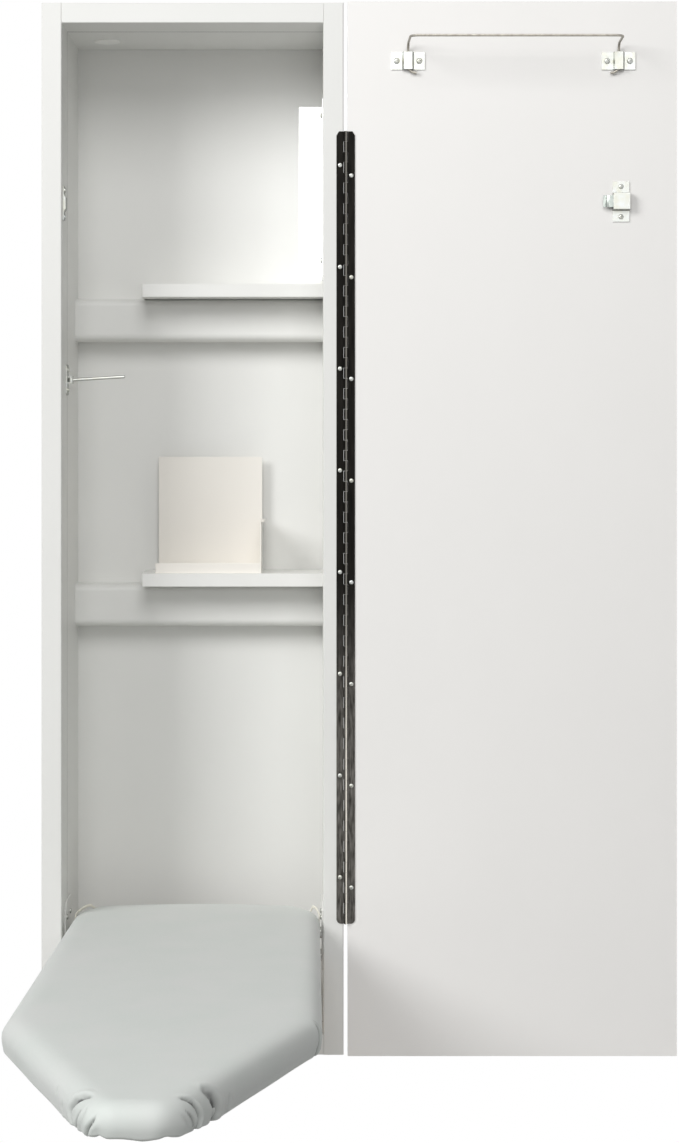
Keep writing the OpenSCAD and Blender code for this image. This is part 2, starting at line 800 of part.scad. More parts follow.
// Strap with a raised housing between two screwed ends
module catch_bracket() {
    t = 1.2;
    color(zinc) difference() {
        translate([catch_x - catch_w / 2, front_y, catch_z]) rotate([90, 0, 90]) linear_extrude(catch_w)
            polygon([[0, -24], [-t, -24], [-t, -11], [-catch_out, -9.5], [-catch_out, 9.5], [-t, 11], [-t, 24],
                     [0, 24], [0, 9.8], [-catch_out + t, 8.3], [-catch_out + t, -8.3], [0, -9.8]]);
        for (z = catch_screw_z) on_front(catch_x, z) pilot(screw_d, 4);
    }
}

module catch_screws() {
    color(zinc) for (z = catch_screw_z) on_front(catch_x, z) translate([0, 0, 1.2])
        pan_screw(6, 1.8, screw_d, 10);
}

// Spring strip: it lies inside the housing, curls beside it and ends in a flat tongue
module catch_spring() {
    t = 0.8;
    r = 4.2;
    h = 14;
    tongue = 3;
    roll_x = catch_x - catch_w / 2 - r - 0.4;
    roll_y = front_y - r - 0.4;
    color([0.6, 0.64, 0.6]) translate([0, 0, catch_z - h / 2]) {
        translate([roll_x, roll_y, 0]) linear_extrude(h) difference() {
            circle(r = r);
            circle(r = r - t);
            translate([-r - 1, 0]) square([r + 1, r + 1]);
        }
        translate([roll_x, roll_y - r, 0]) cube([r + catch_w - 1, t, h]);
        translate([roll_x - r - tongue, roll_y - t, 0]) cube([tongue + t, t, h]);
    }
}

// ---------------------------------------------------------------- board

// Radii of the covered board's plan: its bowed tail, and the corners from tail to nose
bow_r = 400;
tail_r = 50;
shoulder_r = 55;
nose_r = 28;
half_w = board_w / 2;
taper_angle = atan((half_w - nose_w / 2) / (board_reach - taper_start));

// Middle of a tail corner, which runs into the bowed tail at the angle tail_turn
tail_x = half_w - tail_r;
tail_y = board_tail - bow_r + sqrt(pow(bow_r - tail_r, 2) - pow(tail_x, 2));
tail_turn = acos(tail_x / (bow_r - tail_r));

// Arcs of one half, tail first, as [x, y, radius, angle of the first normal, angle of the last normal]
function board_arcs(inset) = let (a = taper_angle) [
    [0, board_tail - bow_r, bow_r - inset, 90, tail_turn],
    [tail_x, tail_y, tail_r - inset, tail_turn, 0],
    [half_w - shoulder_r, -taper_start + shoulder_r * tan(a / 2), shoulder_r - inset, 0, -a],
    [nose_w / 2 - nose_r * tan(45 - a / 2), -board_reach + nose_r, nose_r - inset, -a, -90]];

// Points of one half's outline, from the tail to the nose, as [x, y, normal angle]
function board_half(inset, steps) = [for (c = board_arcs(inset), i = [0 : steps])
    let (n = c[3] + (c[4] - c[3]) * i / steps) [c[0] + c[2] * cos(n), c[1] + c[2] * sin(n), n]];

function board_outline(inset, steps) = let (half = board_half(inset, steps)) concat(
    [for (p = half) [p[0], p[1]]],
    [for (i = [len(half) - 1 : -1 : 1]) [-half[i][0], half[i][1]]]);

// Place children in the board's own space: its pivot at the origin, its nose along -Y
module on_board() {
    translate([board_x, pivot_y, pivot_h]) rotate([-board_slope, 0, 0]) children();
}

core_inset = 6;

module board_core() {
    color([0.72, 0.6, 0.45]) on_board() difference() {
        translate([0, 0, core_bot]) linear_extrude(core_t) polygon(board_outline(core_inset, 6));
        for (p = rail_screw_at) translate([p[0], p[1], core_bot]) mirror([0, 0, 1]) pilot(screw_d, 12);
        for (p = leg_bracket_screw_at) translate([p[0], p[1], core_bot]) mirror([0, 0, 1]) pilot(screw_d, 12);
    }
}

module board_pad() {
    color([0.85, 0.84, 0.8]) on_board() translate([0, 0, core_top + seat])
        linear_extrude(pad_t) polygon(board_outline(core_inset + 2.8, 6));
}

// The cover's rings from the middle of its top, down the skirt and up again inside.
// Each ring is [inset from the outline, height, share of the gathers].
cover_rings = [
    [20, board_top, 0], [9, board_top - 0.4, 0], [3, board_top - 2.6, 0.1], [0.4, board_top - 7, 0.3],
    [0, board_top - 14, 0.6], [1.2, skirt_bot + 6, 1], [3, skirt_bot, 1],
    [3 + cover_t, skirt_bot + 0.6, 1], [2.6 + cover_t, skirt_bot + 8, 0.8], [cover_t + 0.6, board_top - 14, 0.4],
    [cover_t + 1, board_top - 8, 0.1], [cover_t + 6, board_top - cover_t, 0]];
cover_run = 6;                             // points along each straight side
gather_reach = 90;                         // reach of the gathers behind the tip of the nose
gather_depth = 2.2;

// Plan of one half with points spread along the straight sides, as [x, y, normal, weight of gathers]
function cover_half() = let (h = board_half(0, 6)) [for (i = [0 : len(h) - 1]) each (
    i < len(h) - 1 && norm([h[i + 1][0] - h[i][0], h[i + 1][1] - h[i][1]]) > 60
    ? [for (k = [0 : cover_run - 1]) let (f = k / cover_run, p = h[i] * (1 - f) + h[i + 1] * f)
        [p[0], p[1], h[i][2], gather_weight(p[1])]]
    : [[h[i][0], h[i][1], h[i][2], gather_weight(h[i][1])]])];

// 1 at the tip of the nose, down to 0 where the gathers end
function gather_weight(y) = max(0, 1 - (y + board_reach) / gather_reach);

// One point of the cover: a plan point moved in by the ring's inset, and every other one by its gather
function cover_point(p, i, ring, side) = let (
    d = ring[0] + gather_depth * ring[2] * p[3] * (i % 2))
    [side * (p[0] - d * cos(p[2])), p[1] - d * sin(p[2]), ring[1]];

module board_cover() {
    half = cover_half();
    m = len(half);
    n = 2 * m - 1;
    rings = len(cover_rings);
    points = concat(
        [for (ring = cover_rings) each concat(
            [for (i = [0 : m - 1]) cover_point(half[i], i, ring, 1)],
            [for (i = [m - 1 : -1 : 1]) cover_point(half[i], i, ring, -1)])],
        [[0, -board_reach / 2, board_top], [0, -board_reach / 2, board_top - cover_t]]);
    walls = [for (r = [0 : rings - 2], i = [0 : n - 1]) let (j = (i + 1) % n) each
        [[r * n + i, r * n + j, (r + 1) * n + j], [r * n + i, (r + 1) * n + j, (r + 1) * n + i]]];
    caps = [for (i = [0 : n - 1]) let (j = (i + 1) % n) each
        [[rings * n, j, i], [rings * n + 1, (rings - 1) * n + i, (rings - 1) * n + j]]];
    color(cloth) on_board() difference() {
        polyhedron(points, concat(walls, caps), convexity = 6);
        translate([-board_w, skirt_end, skirt_bot - cover_t])
            cube([2 * board_w, 2 * board_tail - skirt_end, core_bot - skirt_bot + cover_t + seat]);
    }
}

tie_low = 12;
tie_high = 26;

// Elastic ties that run on from the cover's skirts, round the corners of its tail
module cover_ties() {
    r = 2;
    reach = tail_r + r + seat;
    path = [for (i = [0 : 4]) let (n = 25 + 12 * i)
        [tail_x + reach * cos(n), tail_y + reach * sin(n), tie_low + (tie_high - tie_low) * i / 4]];
    color([0.93, 0.92, 0.86]) on_board() for (side = [0, 1]) mirror([side, 0]) wire(path, r, 8, 8);
}

// ---------------------------------------------------------------- board rails

rail_l = 620;
rail_tail = 11;                            // reach of the rails behind the pivot
rail_leg = 22;
rail_flat = 25;
rail_screw_y = [-40, -210, -400, -590];
rail_screw_x = rail_x - 14;
rail_screw_at = [for (side = [-1, 1], y = rail_screw_y) [side * rail_screw_x, y]];

// Steel angle under one edge of the board, with the hole for its pivot bolt
module board_rail(side) {
    color(zinc) on_board() difference() {
        translate([0, rail_tail, 0]) rotate([90, 0, 0]) linear_extrude(rail_l + rail_tail) scale([side, 1]) polygon([
            [rail_x - rail_flat, core_bot], [rail_x, core_bot], [rail_x, core_bot - rail_leg],
            [rail_x - rail_t, core_bot - rail_leg], [rail_x - rail_t, core_bot - rail_t],
            [rail_x - rail_flat, core_bot - rail_t]]);
        rotate([0, 90, 0]) cylinder(d = pivot_d + 2 * fit, h = 2 * board_w, center = true);
        for (y = rail_screw_y) translate([side * rail_screw_x, y, core_bot - rail_t])
            mirror([0, 0, 1]) pilot(screw_d, 4);
    }
}

module board_rail_left() {
    board_rail(-1);
}

module board_rail_right() {
    board_rail(1);
}

module board_rail_screws() {
    color(zinc) on_board() for (p = rail_screw_at) translate([p[0], p[1], core_bot - rail_t])
        mirror([0, 0, 1]) pan_screw(7, 2.2, screw_d, 11);
}

// ---------------------------------------------------------------- support leg

leg_h = -9;                                // the leg's pivot below the board's pivot line
leg_ear_x = 9;
leg_pin_r = 3;
leg_bracket_w = 56;
leg_bracket_l = 32;
leg_bracket_screw_at = [for (x = [-20, 20], y = [-leg_at - 9, -leg_at + 9]) [x, y]];

// Folded bracket under the board with two ears for the leg's pin
module leg_bracket() {
    t = 2;
    color(zinc) on_board() difference() {
        union() {
            translate([-leg_bracket_w / 2, -leg_at - leg_bracket_l / 2, core_bot - t])
                cube([leg_bracket_w, leg_bracket_l, t]);
            for (x = [-leg_ear_x - t, leg_ear_x]) translate([x, -leg_at, leg_h]) rotate([90, 0, 90])
                linear_extrude(t) hull() {
                    circle(r = 8);
                    translate([-10, core_bot - leg_h - t]) square([20, t]);
                }
        }
        translate([0, -leg_at, leg_h]) rotate([0, 90, 0])
            cylinder(r = leg_pin_r, h = leg_bracket_w, center = true);
        for (p = leg_bracket_screw_at) translate([p[0], p[1], core_bot - t]) mirror([0, 0, 1]) pilot(screw_d, 4);
    }
}

module leg_bracket_screws() {
    color(zinc) on_board() for (p = leg_bracket_screw_at) translate([p[0], p[1], core_bot - 2])
        mirror([0, 0, 1]) pan_screw(6, 1.8, screw_d, 11);
}

module leg_pin() {
    color(zinc) on_board() translate([0, -leg_at, leg_h]) rotate([0, 90, 0]) {
        cylinder(r = leg_pin_r, h = 2 * leg_ear_x + 8, center = true, $fn = 32);
        for (side = [-1, 1]) translate([0, 0, side * (leg_ear_x + 3)]) cylinder(r = 4.6, h = 2, center = true);
    }
}

// The leg's pivot in the row's frame, and the foot's place on the cabinet's floor
leg_y = pivot_y - leg_at * cos(board_slope) + leg_h * sin(board_slope);
leg_z = pivot_h + leg_at * sin(board_slope) + leg_h * cos(board_slope);
foot_r = 9;
foot_gap = 42;                             // from the seam forward to the foot's middle
foot_y = seam_y - foot_gap;
foot_z = -ceil_z + 2 + foot_r + seat;
leg_l = norm([foot_y - leg_y, foot_z - leg_z]);
leg_angle = atan2(leg_z - foot_z, foot_y - leg_y);

// Place children at the leg's pivot, with +X along the leg and +Z across it
module on_leg() {
    translate([board_x, leg_y, leg_z]) rotate([-leg_angle, 0, 0])
        multmatrix([[0, 0, 1, 0], [1, 0, 0, 0], [0, 1, 0, 0], [0, 0, 0, 1]]) children();
}

module support_leg() {
    color(zinc) on_leg() difference() {
        union() {
            cylinder(r = 7, h = 2 * leg_ear_x - 1, center = true);
            rotate([0, 90, 0]) cylinder(d = leg_d, h = leg_l - foot_r + 4);
        }
        cylinder(r = leg_pin_r + fit, h = 40, center = true);
    }
}

// Rubber foot, a rounded block pushed over the end of the tube
module leg_foot() {
    color([0.2, 0.2, 0.2]) on_leg() difference() {
        union() {
            translate([leg_l, 0, 0]) cylinder(r = foot_r, h = 24, center = true);
            translate([leg_l - 22, -foot_r, -12]) cube([22, 2 * foot_r, 24]);
        }
        rotate([0, 90, 0]) cylinder(d = leg_d + 2 * fit, h = leg_l - foot_r + 4);
    }
}

seat_w = 70;                               // leg seat: width, and reach behind the seam
seat_reach = 24;

// Angle on the cabinet's floor whose upright lip takes the leg's thrust
leg_seat_screw_x = [board_x - 25, board_x + 25];
leg_seat_screw_y = seam_y + 12;

module leg_seat() {
    t = 2;
    lip_y = foot_y + foot_r + seat;
    color(zinc) difference() {
        translate([board_x - seat_w / 2, 0, -ceil_z]) union() {
            translate([0, foot_y - 16, 0]) cube([seat_w, seam_y + seat_reach - foot_y + 16, t]);
            translate([0, lip_y, 0]) cube([seat_w, t, 16]);
        }
        for (x = leg_seat_screw_x) translate([x, leg_seat_screw_y, -ceil_z + t]) pilot(screw_d, 4);
    }
}

module leg_seat_screws() {
    color(zinc) for (x = leg_seat_screw_x) translate([x, leg_seat_screw_y, -ceil_z + 2])
        pan_screw(7, 2.2, screw_d, 11);
}

// ---------------------------------------------------------------- drawing

frame_left_stile();
frame_right_stile();
frame_top_rail();
frame_bottom_rail();
left_side();
right_side();
top_panel();
bottom_panel();
back_panel();
upper_cleat();
lower_cleat();
upper_shelf();
lower_shelf();
heat_shield();
heat_shield_screws();
iron_holder();
iron_holder_screws();
hole_plug();
strike_plate();
strike_screws();
rod_bracket();
rod_bracket_screws();
retainer_rod();
pivot_plate_left();
pivot_plate_right();
pivot_plate_screws();
pivot_bolts();
leg_seat();
leg_seat_screws();
hinge_frame_leaf();
hinge_pin();
hinge_frame_screws();
hinge_door_leaf();
hinge_door_screws();
door_panel();
mirror_tape();
mirror_glass();
bar_bracket_left();
bar_bracket_right();
bar_bracket_screws();
garment_bar();
catch_bracket();
catch_spring();
catch_screws();
board_core();
board_pad();
board_cover();
cover_ties();
board_rail_left();
board_rail_right();
board_rail_screws();
leg_bracket();
leg_bracket_screws();
leg_pin();
support_leg();
leg_foot();
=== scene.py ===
"""Studio scene of an ironing board cabinet with a mirror door.

The cabinet hangs upright with its door folded flat open and its board lowered.
Lengths are metres.  +X is right, +Y points into the wall and +Z is up.
"""

import json
import math
from contextlib import contextmanager
from itertools import takewhile

import bmesh
import bpy
from bpy.props import FloatProperty, FloatVectorProperty, PointerProperty
from mathutils import Matrix, Vector, kdtree, noise


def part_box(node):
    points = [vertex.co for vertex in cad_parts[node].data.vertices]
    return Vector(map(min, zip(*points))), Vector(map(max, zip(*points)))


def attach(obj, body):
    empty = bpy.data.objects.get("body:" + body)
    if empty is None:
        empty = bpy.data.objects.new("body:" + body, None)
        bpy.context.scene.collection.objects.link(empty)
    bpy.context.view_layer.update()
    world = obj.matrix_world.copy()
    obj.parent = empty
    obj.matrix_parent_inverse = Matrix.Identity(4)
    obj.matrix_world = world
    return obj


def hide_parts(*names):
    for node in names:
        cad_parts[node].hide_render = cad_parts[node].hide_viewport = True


bl_info = {
    "name": "Ironing Board Cabinet",
    "version": (1, 0, 0),
    "blender": (4, 5, 0),
    "location": "3D View > Sidebar > Cabinet",
    "description": "Dresses a mirror-door ironing board cabinet and sets up its studio",
    "category": "Object",
}

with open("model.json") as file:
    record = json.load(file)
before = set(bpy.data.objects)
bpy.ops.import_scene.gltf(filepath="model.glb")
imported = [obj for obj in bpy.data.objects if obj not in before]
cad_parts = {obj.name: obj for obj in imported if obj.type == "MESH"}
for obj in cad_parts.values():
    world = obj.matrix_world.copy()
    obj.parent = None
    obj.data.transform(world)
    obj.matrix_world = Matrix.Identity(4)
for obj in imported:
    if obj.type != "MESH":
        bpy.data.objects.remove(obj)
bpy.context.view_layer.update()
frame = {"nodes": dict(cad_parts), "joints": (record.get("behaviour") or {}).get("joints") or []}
NODES = frame["nodes"]
JOINTS = {joint["name"]: joint for joint in frame["joints"]}

PHOTO_W = 679                     # the photograph's frame, in pixels
PHOTO_H = 1143
MM = 0.001


# ---------------------------------------------------------------- settings

def length(name, description, default, low=0.0, high=5.0):
    return FloatProperty(name=name, description=description, default=default, min=low, max=high,
                         unit="LENGTH", precision=4)


def power(name, place, default):
    return FloatProperty(name=name, description="Power of the lamp " + place, default=default, unit="POWER")


def colour(name, description, default):
    return FloatVectorProperty(name=name, description=description, default=default, min=0.0, max=1.0,
                               size=3, subtype="COLOR")


class CoverSettings(bpy.types.PropertyGroup):
    """Sizes of the board's fabric cover, its pad and its ties"""

    reach: length("Reach", "Covered board in front of its pivot", 1.031)
    tail: length("Tail", "Covered board behind its pivot", 0.032)
    taper: length("Taper start", "From the pivot to the start of the taper", 0.691)
    nose: length("Nose width", "Width of the covered nose", 0.074)
    top: length("Top", "Height of the cloth above the pivot", 0.031)
    skirt: length("Skirt", "Height of the skirt", 0.033)
    crown: length("Soft edge", "How far the padded flanks round over", 0.031)
    cloth: length("Cloth", "Thickness of the cloth", 0.0009)
    slope: FloatProperty(name="Slope", description="Rise of the lowered board towards its nose",
                         default=math.radians(3.0), subtype="ANGLE")
    fold: FloatProperty(name="Gathers", description="Strength of the gathers at the nose",
                        default=1.0, min=0.0, max=1.5, subtype="FACTOR")


class FinishSettings(bpy.types.PropertyGroup):
    """Colours of the cabinet's finishes"""

    laminate: colour("Laminate", "White board", (0.80, 0.80, 0.775))
    # The door's board is a little warmer in tone and painted brighter than the laminate, standing in for more
    # light on the door
    door: colour("Door", "White board of the door", (0.885, 0.872, 0.850))
    enamel: colour("Cream enamel", "Iron holder", (0.845, 0.815, 0.76))
    fabric: colour("Cover", "Silvery cotton of the cover", (0.652, 0.668, 0.648))
    wire: colour("Wire", "Plated wire of the garment bar", (0.34, 0.32, 0.28))
    plate: colour("Zinc", "Zinc-plated hardware", (0.47, 0.485, 0.48))
    glass: colour("Mirror", "Silvered face of the glass", (0.84, 0.88, 0.87))
    timber: colour("Plywood", "Edge and face of the wooden board", (0.62, 0.44, 0.27))


class StageSettings(bpy.types.PropertyGroup):
    """The camera, the lamps and the floor"""

    eye_x: length("Eye X", "Camera to the right of the cabinet's middle", 0.14197, -5.0)
    eye_z: length("Eye Z", "Camera above the cabinet's middle", 0.11494, -5.0)
    distance: length("Distance", "Camera from the cabinet's front", 2.80, 0.5, 20.0)
    focus_px: FloatProperty(name="Focal length", description="In pixels of the photograph", default=2356.9)
    level_x: FloatProperty(name="Level X", description="Pixel that the camera looks straight at",
                           default=312.0)
    level_y: FloatProperty(name="Level Y", description="Pixel that the camera looks straight at",
                           default=432.0)
    key: power("Key", "on the left", 82.0)
    fill: power("Fill", "in front", 14.0)
    above: power("Above", "above the front", 49.0)
    back: power("Back", "behind", 60.0)
    ambient: FloatProperty(name="Ambient", description="Strength of the studio's own light", default=0.14)
    floor_drop: length("Floor", "Floor below the cabinet's middle", 1.36)
    floor_radius: length("Floor radius", "Radius of the round floor, which fades to its edge", 2.1)


# ---------------------------------------------------------------- shader helpers

class Net:
    """A shader tree, with short ways to add and join its nodes."""

    def __init__(self, tree):
        self.tree = tree

    def put(self, kind, **values):
        """Adds a node with its own values and those of its sockets, which may be other sockets."""
        made = self.tree.nodes.new("ShaderNode" + kind)
        for name, value in values.items():
            if hasattr(made, name):
                setattr(made, name, value)
            else:
                self.join(value, made.inputs[name.replace("_", " ")])
        return made

    def join(self, value, socket):
        """Gives a socket the result of another one, or a plain value."""
        if isinstance(value, bpy.types.NodeSocket):
            self.tree.links.new(value, socket)
        else:
            socket.default_value = value

    def calc(self, operation, *values):
        made = self.put("Math", operation=operation)
        for value, socket in zip(values, made.inputs):
            self.join(value, socket)
        return made.outputs[0]

    def mapped(self, value, start=0.0, stop=1.0, low=0.0, high=1.0, smooth=False):
        """A value carried from the range start to stop into the range low to high."""
        made = self.put("MapRange", Value=value, From_Min=start, From_Max=stop, To_Min=low, To_Max=high)
        made.interpolation_type = "SMOOTHSTEP" if smooth else "LINEAR"
        return made.outputs["Result"]

    def blend(self, factor, a, b):
        """Mixes two colours."""
        mix = self.put("Mix", data_type="RGBA", Factor=factor)
        for name, value in (("A_Color", a), ("B_Color", b)):
            self.join(value, next(s for s in mix.inputs if s.identifier == name))
        return next(s for s in mix.outputs if s.identifier == "Result_Color")

    def coordinate(self, kind="Object"):
        """The three parts of a texture coordinate."""
        return self.put("SeparateXYZ", Vector=self.put("TexCoord").outputs[kind]).outputs

    def effect(self, name, **values):
        """Places a shared effect with this material's own values, and gives its outputs."""
        shared = bpy.data.node_groups.get(name) or EFFECTS[name]()
        return self.put("Group", node_tree=shared, **values).outputs


def new_effect(name, inputs, outputs):
    """A node group with named sockets: its net, its inputs and its outputs."""
    tree = bpy.data.node_groups.new(name, "ShaderNodeTree")
    for label, kind, default in inputs:
        socket = tree.interface.new_socket(name=label, in_out="INPUT", socket_type="NodeSocket" + kind)
        socket.default_value = default
    for label, kind in outputs:
        tree.interface.new_socket(name=label, in_out="OUTPUT", socket_type="NodeSocket" + kind)
    return Net(tree), tree.nodes.new("NodeGroupInput").outputs, tree.nodes.new("NodeGroupOutput").inputs


def stretched_noise(net, scale, **values):
    """Noise in object coordinates multiplied by a vector."""
    scaled = net.put("VectorMath", operation="MULTIPLY", Vector=net.put("TexCoord").outputs["Object"])
    net.join(scale, scaled.inputs[1])
    return net.put("TexNoise", Scale=1.0, Vector=scaled.outputs[0], **values).outputs["Fac"]


def mottle_effect():
    """Two soft colours mixed by noise, with a height for the Bump node."""
    net, given, out = new_effect(
        "Fine Mottle",
        [("Scale", "Vector", (20, 20, 20)), ("Detail", "Float", 4.0), ("Spread", "Float", 0.5),
         ("Colour A", "Color", (1, 1, 1, 1)), ("Colour B", "Color", (0.9, 0.9, 0.9, 1))],
        [("Colour", "Color"), ("Mask", "Float"), ("Height", "Float")])
    cloud = stretched_noise(net, given["Scale"], Detail=given["Detail"])
    half = net.calc("MULTIPLY", given["Spread"], 0.5)
    mask = net.mapped(cloud, net.calc("SUBTRACT", 0.5, half), net.calc("ADD", 0.5, half))
    net.join(net.blend(mask, given["Colour A"], given["Colour B"]), out["Colour"])
    net.join(mask, out["Mask"])
    net.join(cloud, out["Height"])
    return net.tree


def grain_effect():
    """Fine lines drawn out along one axis, as on brushed metal or wood."""
    net, given, out = new_effect(
        "Drawn Grain",
        [("Scale", "Vector", (2000, 60, 2000)), ("Bend", "Float", 0.4),
         ("Low", "Float", 0.3), ("High", "Float", 0.5)],
        [("Value", "Float"), ("Lines", "Float"), ("Height", "Float")])
    lines = stretched_noise(net, given["Scale"], Detail=5.0, Roughness=0.6, Distortion=given["Bend"])
    clear = net.mapped(lines, 0.3, 0.7)
    net.join(net.mapped(clear, low=given["Low"], high=given["High"]), out["Value"])
    net.join(clear, out["Lines"])
    net.join(lines, out["Height"])
    return net.tree


def weave_effect():
    """Plain weave from two crossing sets of threads, laid out by the UV map in metres."""
    net, given, out = new_effect("Plain Weave", [("Pitch", "Float", 0.0006)], [("Height", "Float")])
    place = net.coordinate("UV")
    waves = [net.calc("SINE", net.calc("MULTIPLY", net.calc("DIVIDE", place[axis], given["Pitch"]), math.tau))
             for axis in "XY"]
    net.join(net.calc("MULTIPLY", *waves), out["Height"])
    return net.tree


EFFECTS = {"Fine Mottle": mottle_effect, "Drawn Grain": grain_effect, "Plain Weave": weave_effect}


class Paint(Net):
    """A material with one Principled BSDF, and short ways to drive it."""

    def __init__(self, name):
        self.material = bpy.data.materials.new(name)
        self.material.use_nodes = True
        super().__init__(self.material.node_tree)
        self.surface = self.tree.nodes["Principled BSDF"]

    def drive(self, **values):
        """Gives the shader's sockets plain values or other sockets' results."""
        for label, value in values.items():
            self.join(value, self.surface.inputs[label.replace("_", " ")])

    def base(self, colour, roughness, **values):
        self.drive(Base_Color=opaque(colour), Roughness=roughness, **values)

    def driven(self, label):
        """What drives one of the shader's sockets so far."""
        return self.surface.inputs[label].links[0].from_socket

    def bump(self, height, strength, depth):
        """Adds a relief, with its depth in millimetres, to any that is there."""
        raised = self.put("Bump", Strength=strength, Distance=depth * MM, Height=height)
        if self.surface.inputs["Normal"].is_linked:
            self.join(self.driven("Normal"), raised.inputs["Normal"])
        self.drive(Normal=raised.outputs[0])

    def gloss(self, mask, low, high):
        self.drive(Roughness=self.mapped(mask, low=low, high=high))

    def mottle(self, scale, detail, spread, *colours):
        """The shared soft noise and, where two colours are given, the surface's colour from them."""
        values = {name: opaque(colour) for name, colour in zip(("Colour_A", "Colour_B"), colours)}
        cloud = self.effect("Fine Mottle", Scale=scale, Detail=detail, Spread=spread, **values)
        if colours:
            self.drive(Base_Color=cloud["Colour"])
        return cloud

    def drawn(self, scale, bend, low, high, strength, depth):
        """The shared drawn lines as the roughness, from low to high, and as a relief."""
        lines = self.effect("Drawn Grain", Scale=scale, Bend=bend, Low=low, High=high)
        self.drive(Roughness=lines["Value"])
        self.bump(lines["Height"], strength, depth)
        return lines


def opaque(colour):
    return (*colour[:3], 1.0)


def toned(base, gain):
    return (*[min(1.0, part * gain) for part in base[:3]], 1.0)


# ---------------------------------------------------------------- materials

# Pale coatings: setting with the colour, gain on it, roughness, tone of the clouds, orange peel in mm
COATINGS = {
    "white_laminate": ("laminate", 1.0, 0.42, 0.97, 0.012),
    "joined_laminate": ("laminate", 1.0, 0.42, 0.97, 0.012),
    # The door's board: a warmer tone, and painted brighter to stand in for more light
    "door_laminate": ("door", 1.0, 0.40, 0.985, 0.012),
    "cream_enamel": ("enamel", 1.0, 0.34, 0.96, 0.03),
    "white_enamel": ("laminate", 0.99, 0.36, 0.95, 0.03),
    "white_plastic": ("laminate", 1.16, 0.5, 0.97, 0.02),
}


def coated(paint, finish, setting, gain, roughness, tone, peel):
    """Smooth pale coating: faint cloudy tone, an uneven sheen and a fine orange peel."""
    base = toned(getattr(finish, setting), gain)
    paint.base(base, roughness, Specular_IOR_Level=0.4)
    paint.mottle((9, 9, 6), 3.0, 0.5, base, toned(base, tone))
    peeled = paint.mottle((420, 420, 420), 2.0, 0.6)
    paint.gloss(peeled["Mask"], roughness * 0.9, roughness * 1.12)
    paint.bump(peeled["Height"], 0.35, peel)


# Finishes with one noise (scale, detail, spread) for two colours, a relief (strength, depth in mm) and,
# where it varies, the roughness
CLOUDY = {
    "spring_steel": dict(base=(0.40, 0.43, 0.40), roughness=0.28, noise=((260, 260, 120), 4.0, 0.4),
                         colours=((0.46, 0.49, 0.46), (0.30, 0.33, 0.31)), relief=(0.2, 0.01),
                         gloss=(0.2, 0.36), Metallic=1.0),
    "foam_tape": dict(base=(0.52, 0.52, 0.51), roughness=0.85, noise=((2400, 2400, 2400), 1.0, 0.3),
                      colours=((0.56, 0.56, 0.55), (0.44, 0.44, 0.43)), relief=(0.6, 0.15)),
    "felt": dict(base=(0.60, 0.585, 0.545), roughness=0.95, noise=((900, 300, 900), 6.0, 0.4),
                 colours=((0.66, 0.64, 0.60), (0.50, 0.485, 0.45)), relief=(0.7, 0.5), Sheen_Weight=0.3),
    "elastic": dict(base=(0.80, 0.775, 0.68), roughness=0.8, noise=((1500, 1500, 500), 3.0, 0.4),
                    colours=((0.90, 0.88, 0.79), (0.78, 0.75, 0.65)), relief=(0.5, 0.1), Sheen_Weight=0.2),
    "black_rubber": dict(base=(0.025, 0.025, 0.025), roughness=0.7, noise=((500, 500, 500), 4.0, 0.5),
                         colours=((0.022, 0.022, 0.022), (0.040, 0.039, 0.038)), relief=(0.4, 0.05)),
}


def cloudy(paint, base, roughness, noise, colours, relief, gloss=None, **values):
    """One noise for the colour, the relief and, where it varies, the roughness."""
    paint.base(base, roughness, **values)
    cloud = paint.mottle(*noise, *colours)
    if gloss:
        paint.gloss(cloud["Mask"], *gloss)
    paint.bump(cloud["Height"], *relief)


def joined_laminate(paint, finish):
    """White board with a painted shadow line where the rear box meets the front frame."""
    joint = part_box("left_side")[0].y
    # Painted shadow: the board darkens in a fine line just behind the seam with the frame
    painted_seam_shadow = paint.mapped(paint.coordinate()["Y"], joint + 0.4 * MM, joint + 2.2 * MM, 0.85, 0.0, smooth=True)
    paint.drive(Base_Color=paint.blend(painted_seam_shadow, paint.driven("Base Color"), toned(finish.laminate, 0.12)))


def zinc(paint, finish):
    """Bright zinc plate: cloudy passivation over fine rolling lines, with a painted dark reflection where it
    turns away from the view.
    """
    plate = finish.plate
    paint.base(plate, 0.38, Metallic=1.0)
    warm = (plate[0], plate[1] * 0.97, plate[2] * 0.86)
    cloud = paint.mottle((120, 120, 120), 5.0, 0.35, toned(plate, 1.08), warm)
    # Painted reflection: the colour darkens towards the silhouette, standing in for a dark studio mirrored at
    # grazing angles
    rim = paint.calc("POWER", paint.put("LayerWeight", Blend=0.35).outputs["Facing"], 1.6)
    paint.drive(Base_Color=paint.blend(rim, cloud["Colour"], toned(plate, 0.30)))
    paint.drawn((1800, 1800, 90), 0.2, 0.26, 0.46, 0.25, 0.01)


def drawn_wire(paint, finish):
    """Steel wire with a dull plating."""
    colours = toned(finish.wire, 1.2), toned(finish.wire, 0.8)
    cloudy(paint, finish.wire, 0.34, ((180, 180, 180), 4.0, 0.4), colours, (0.2, 0.01),
           gloss=(0.28, 0.44), Metallic=0.9)


def bright_sheet(paint, finish):
    """Rolled aluminium sheet that mirrors the studio softly."""
    paint.base((0.95, 0.955, 0.955), 0.3, Metallic=1.0)
    paint.drawn((900, 900, 25), 0.1, 0.24, 0.36, 0.2, 0.008)


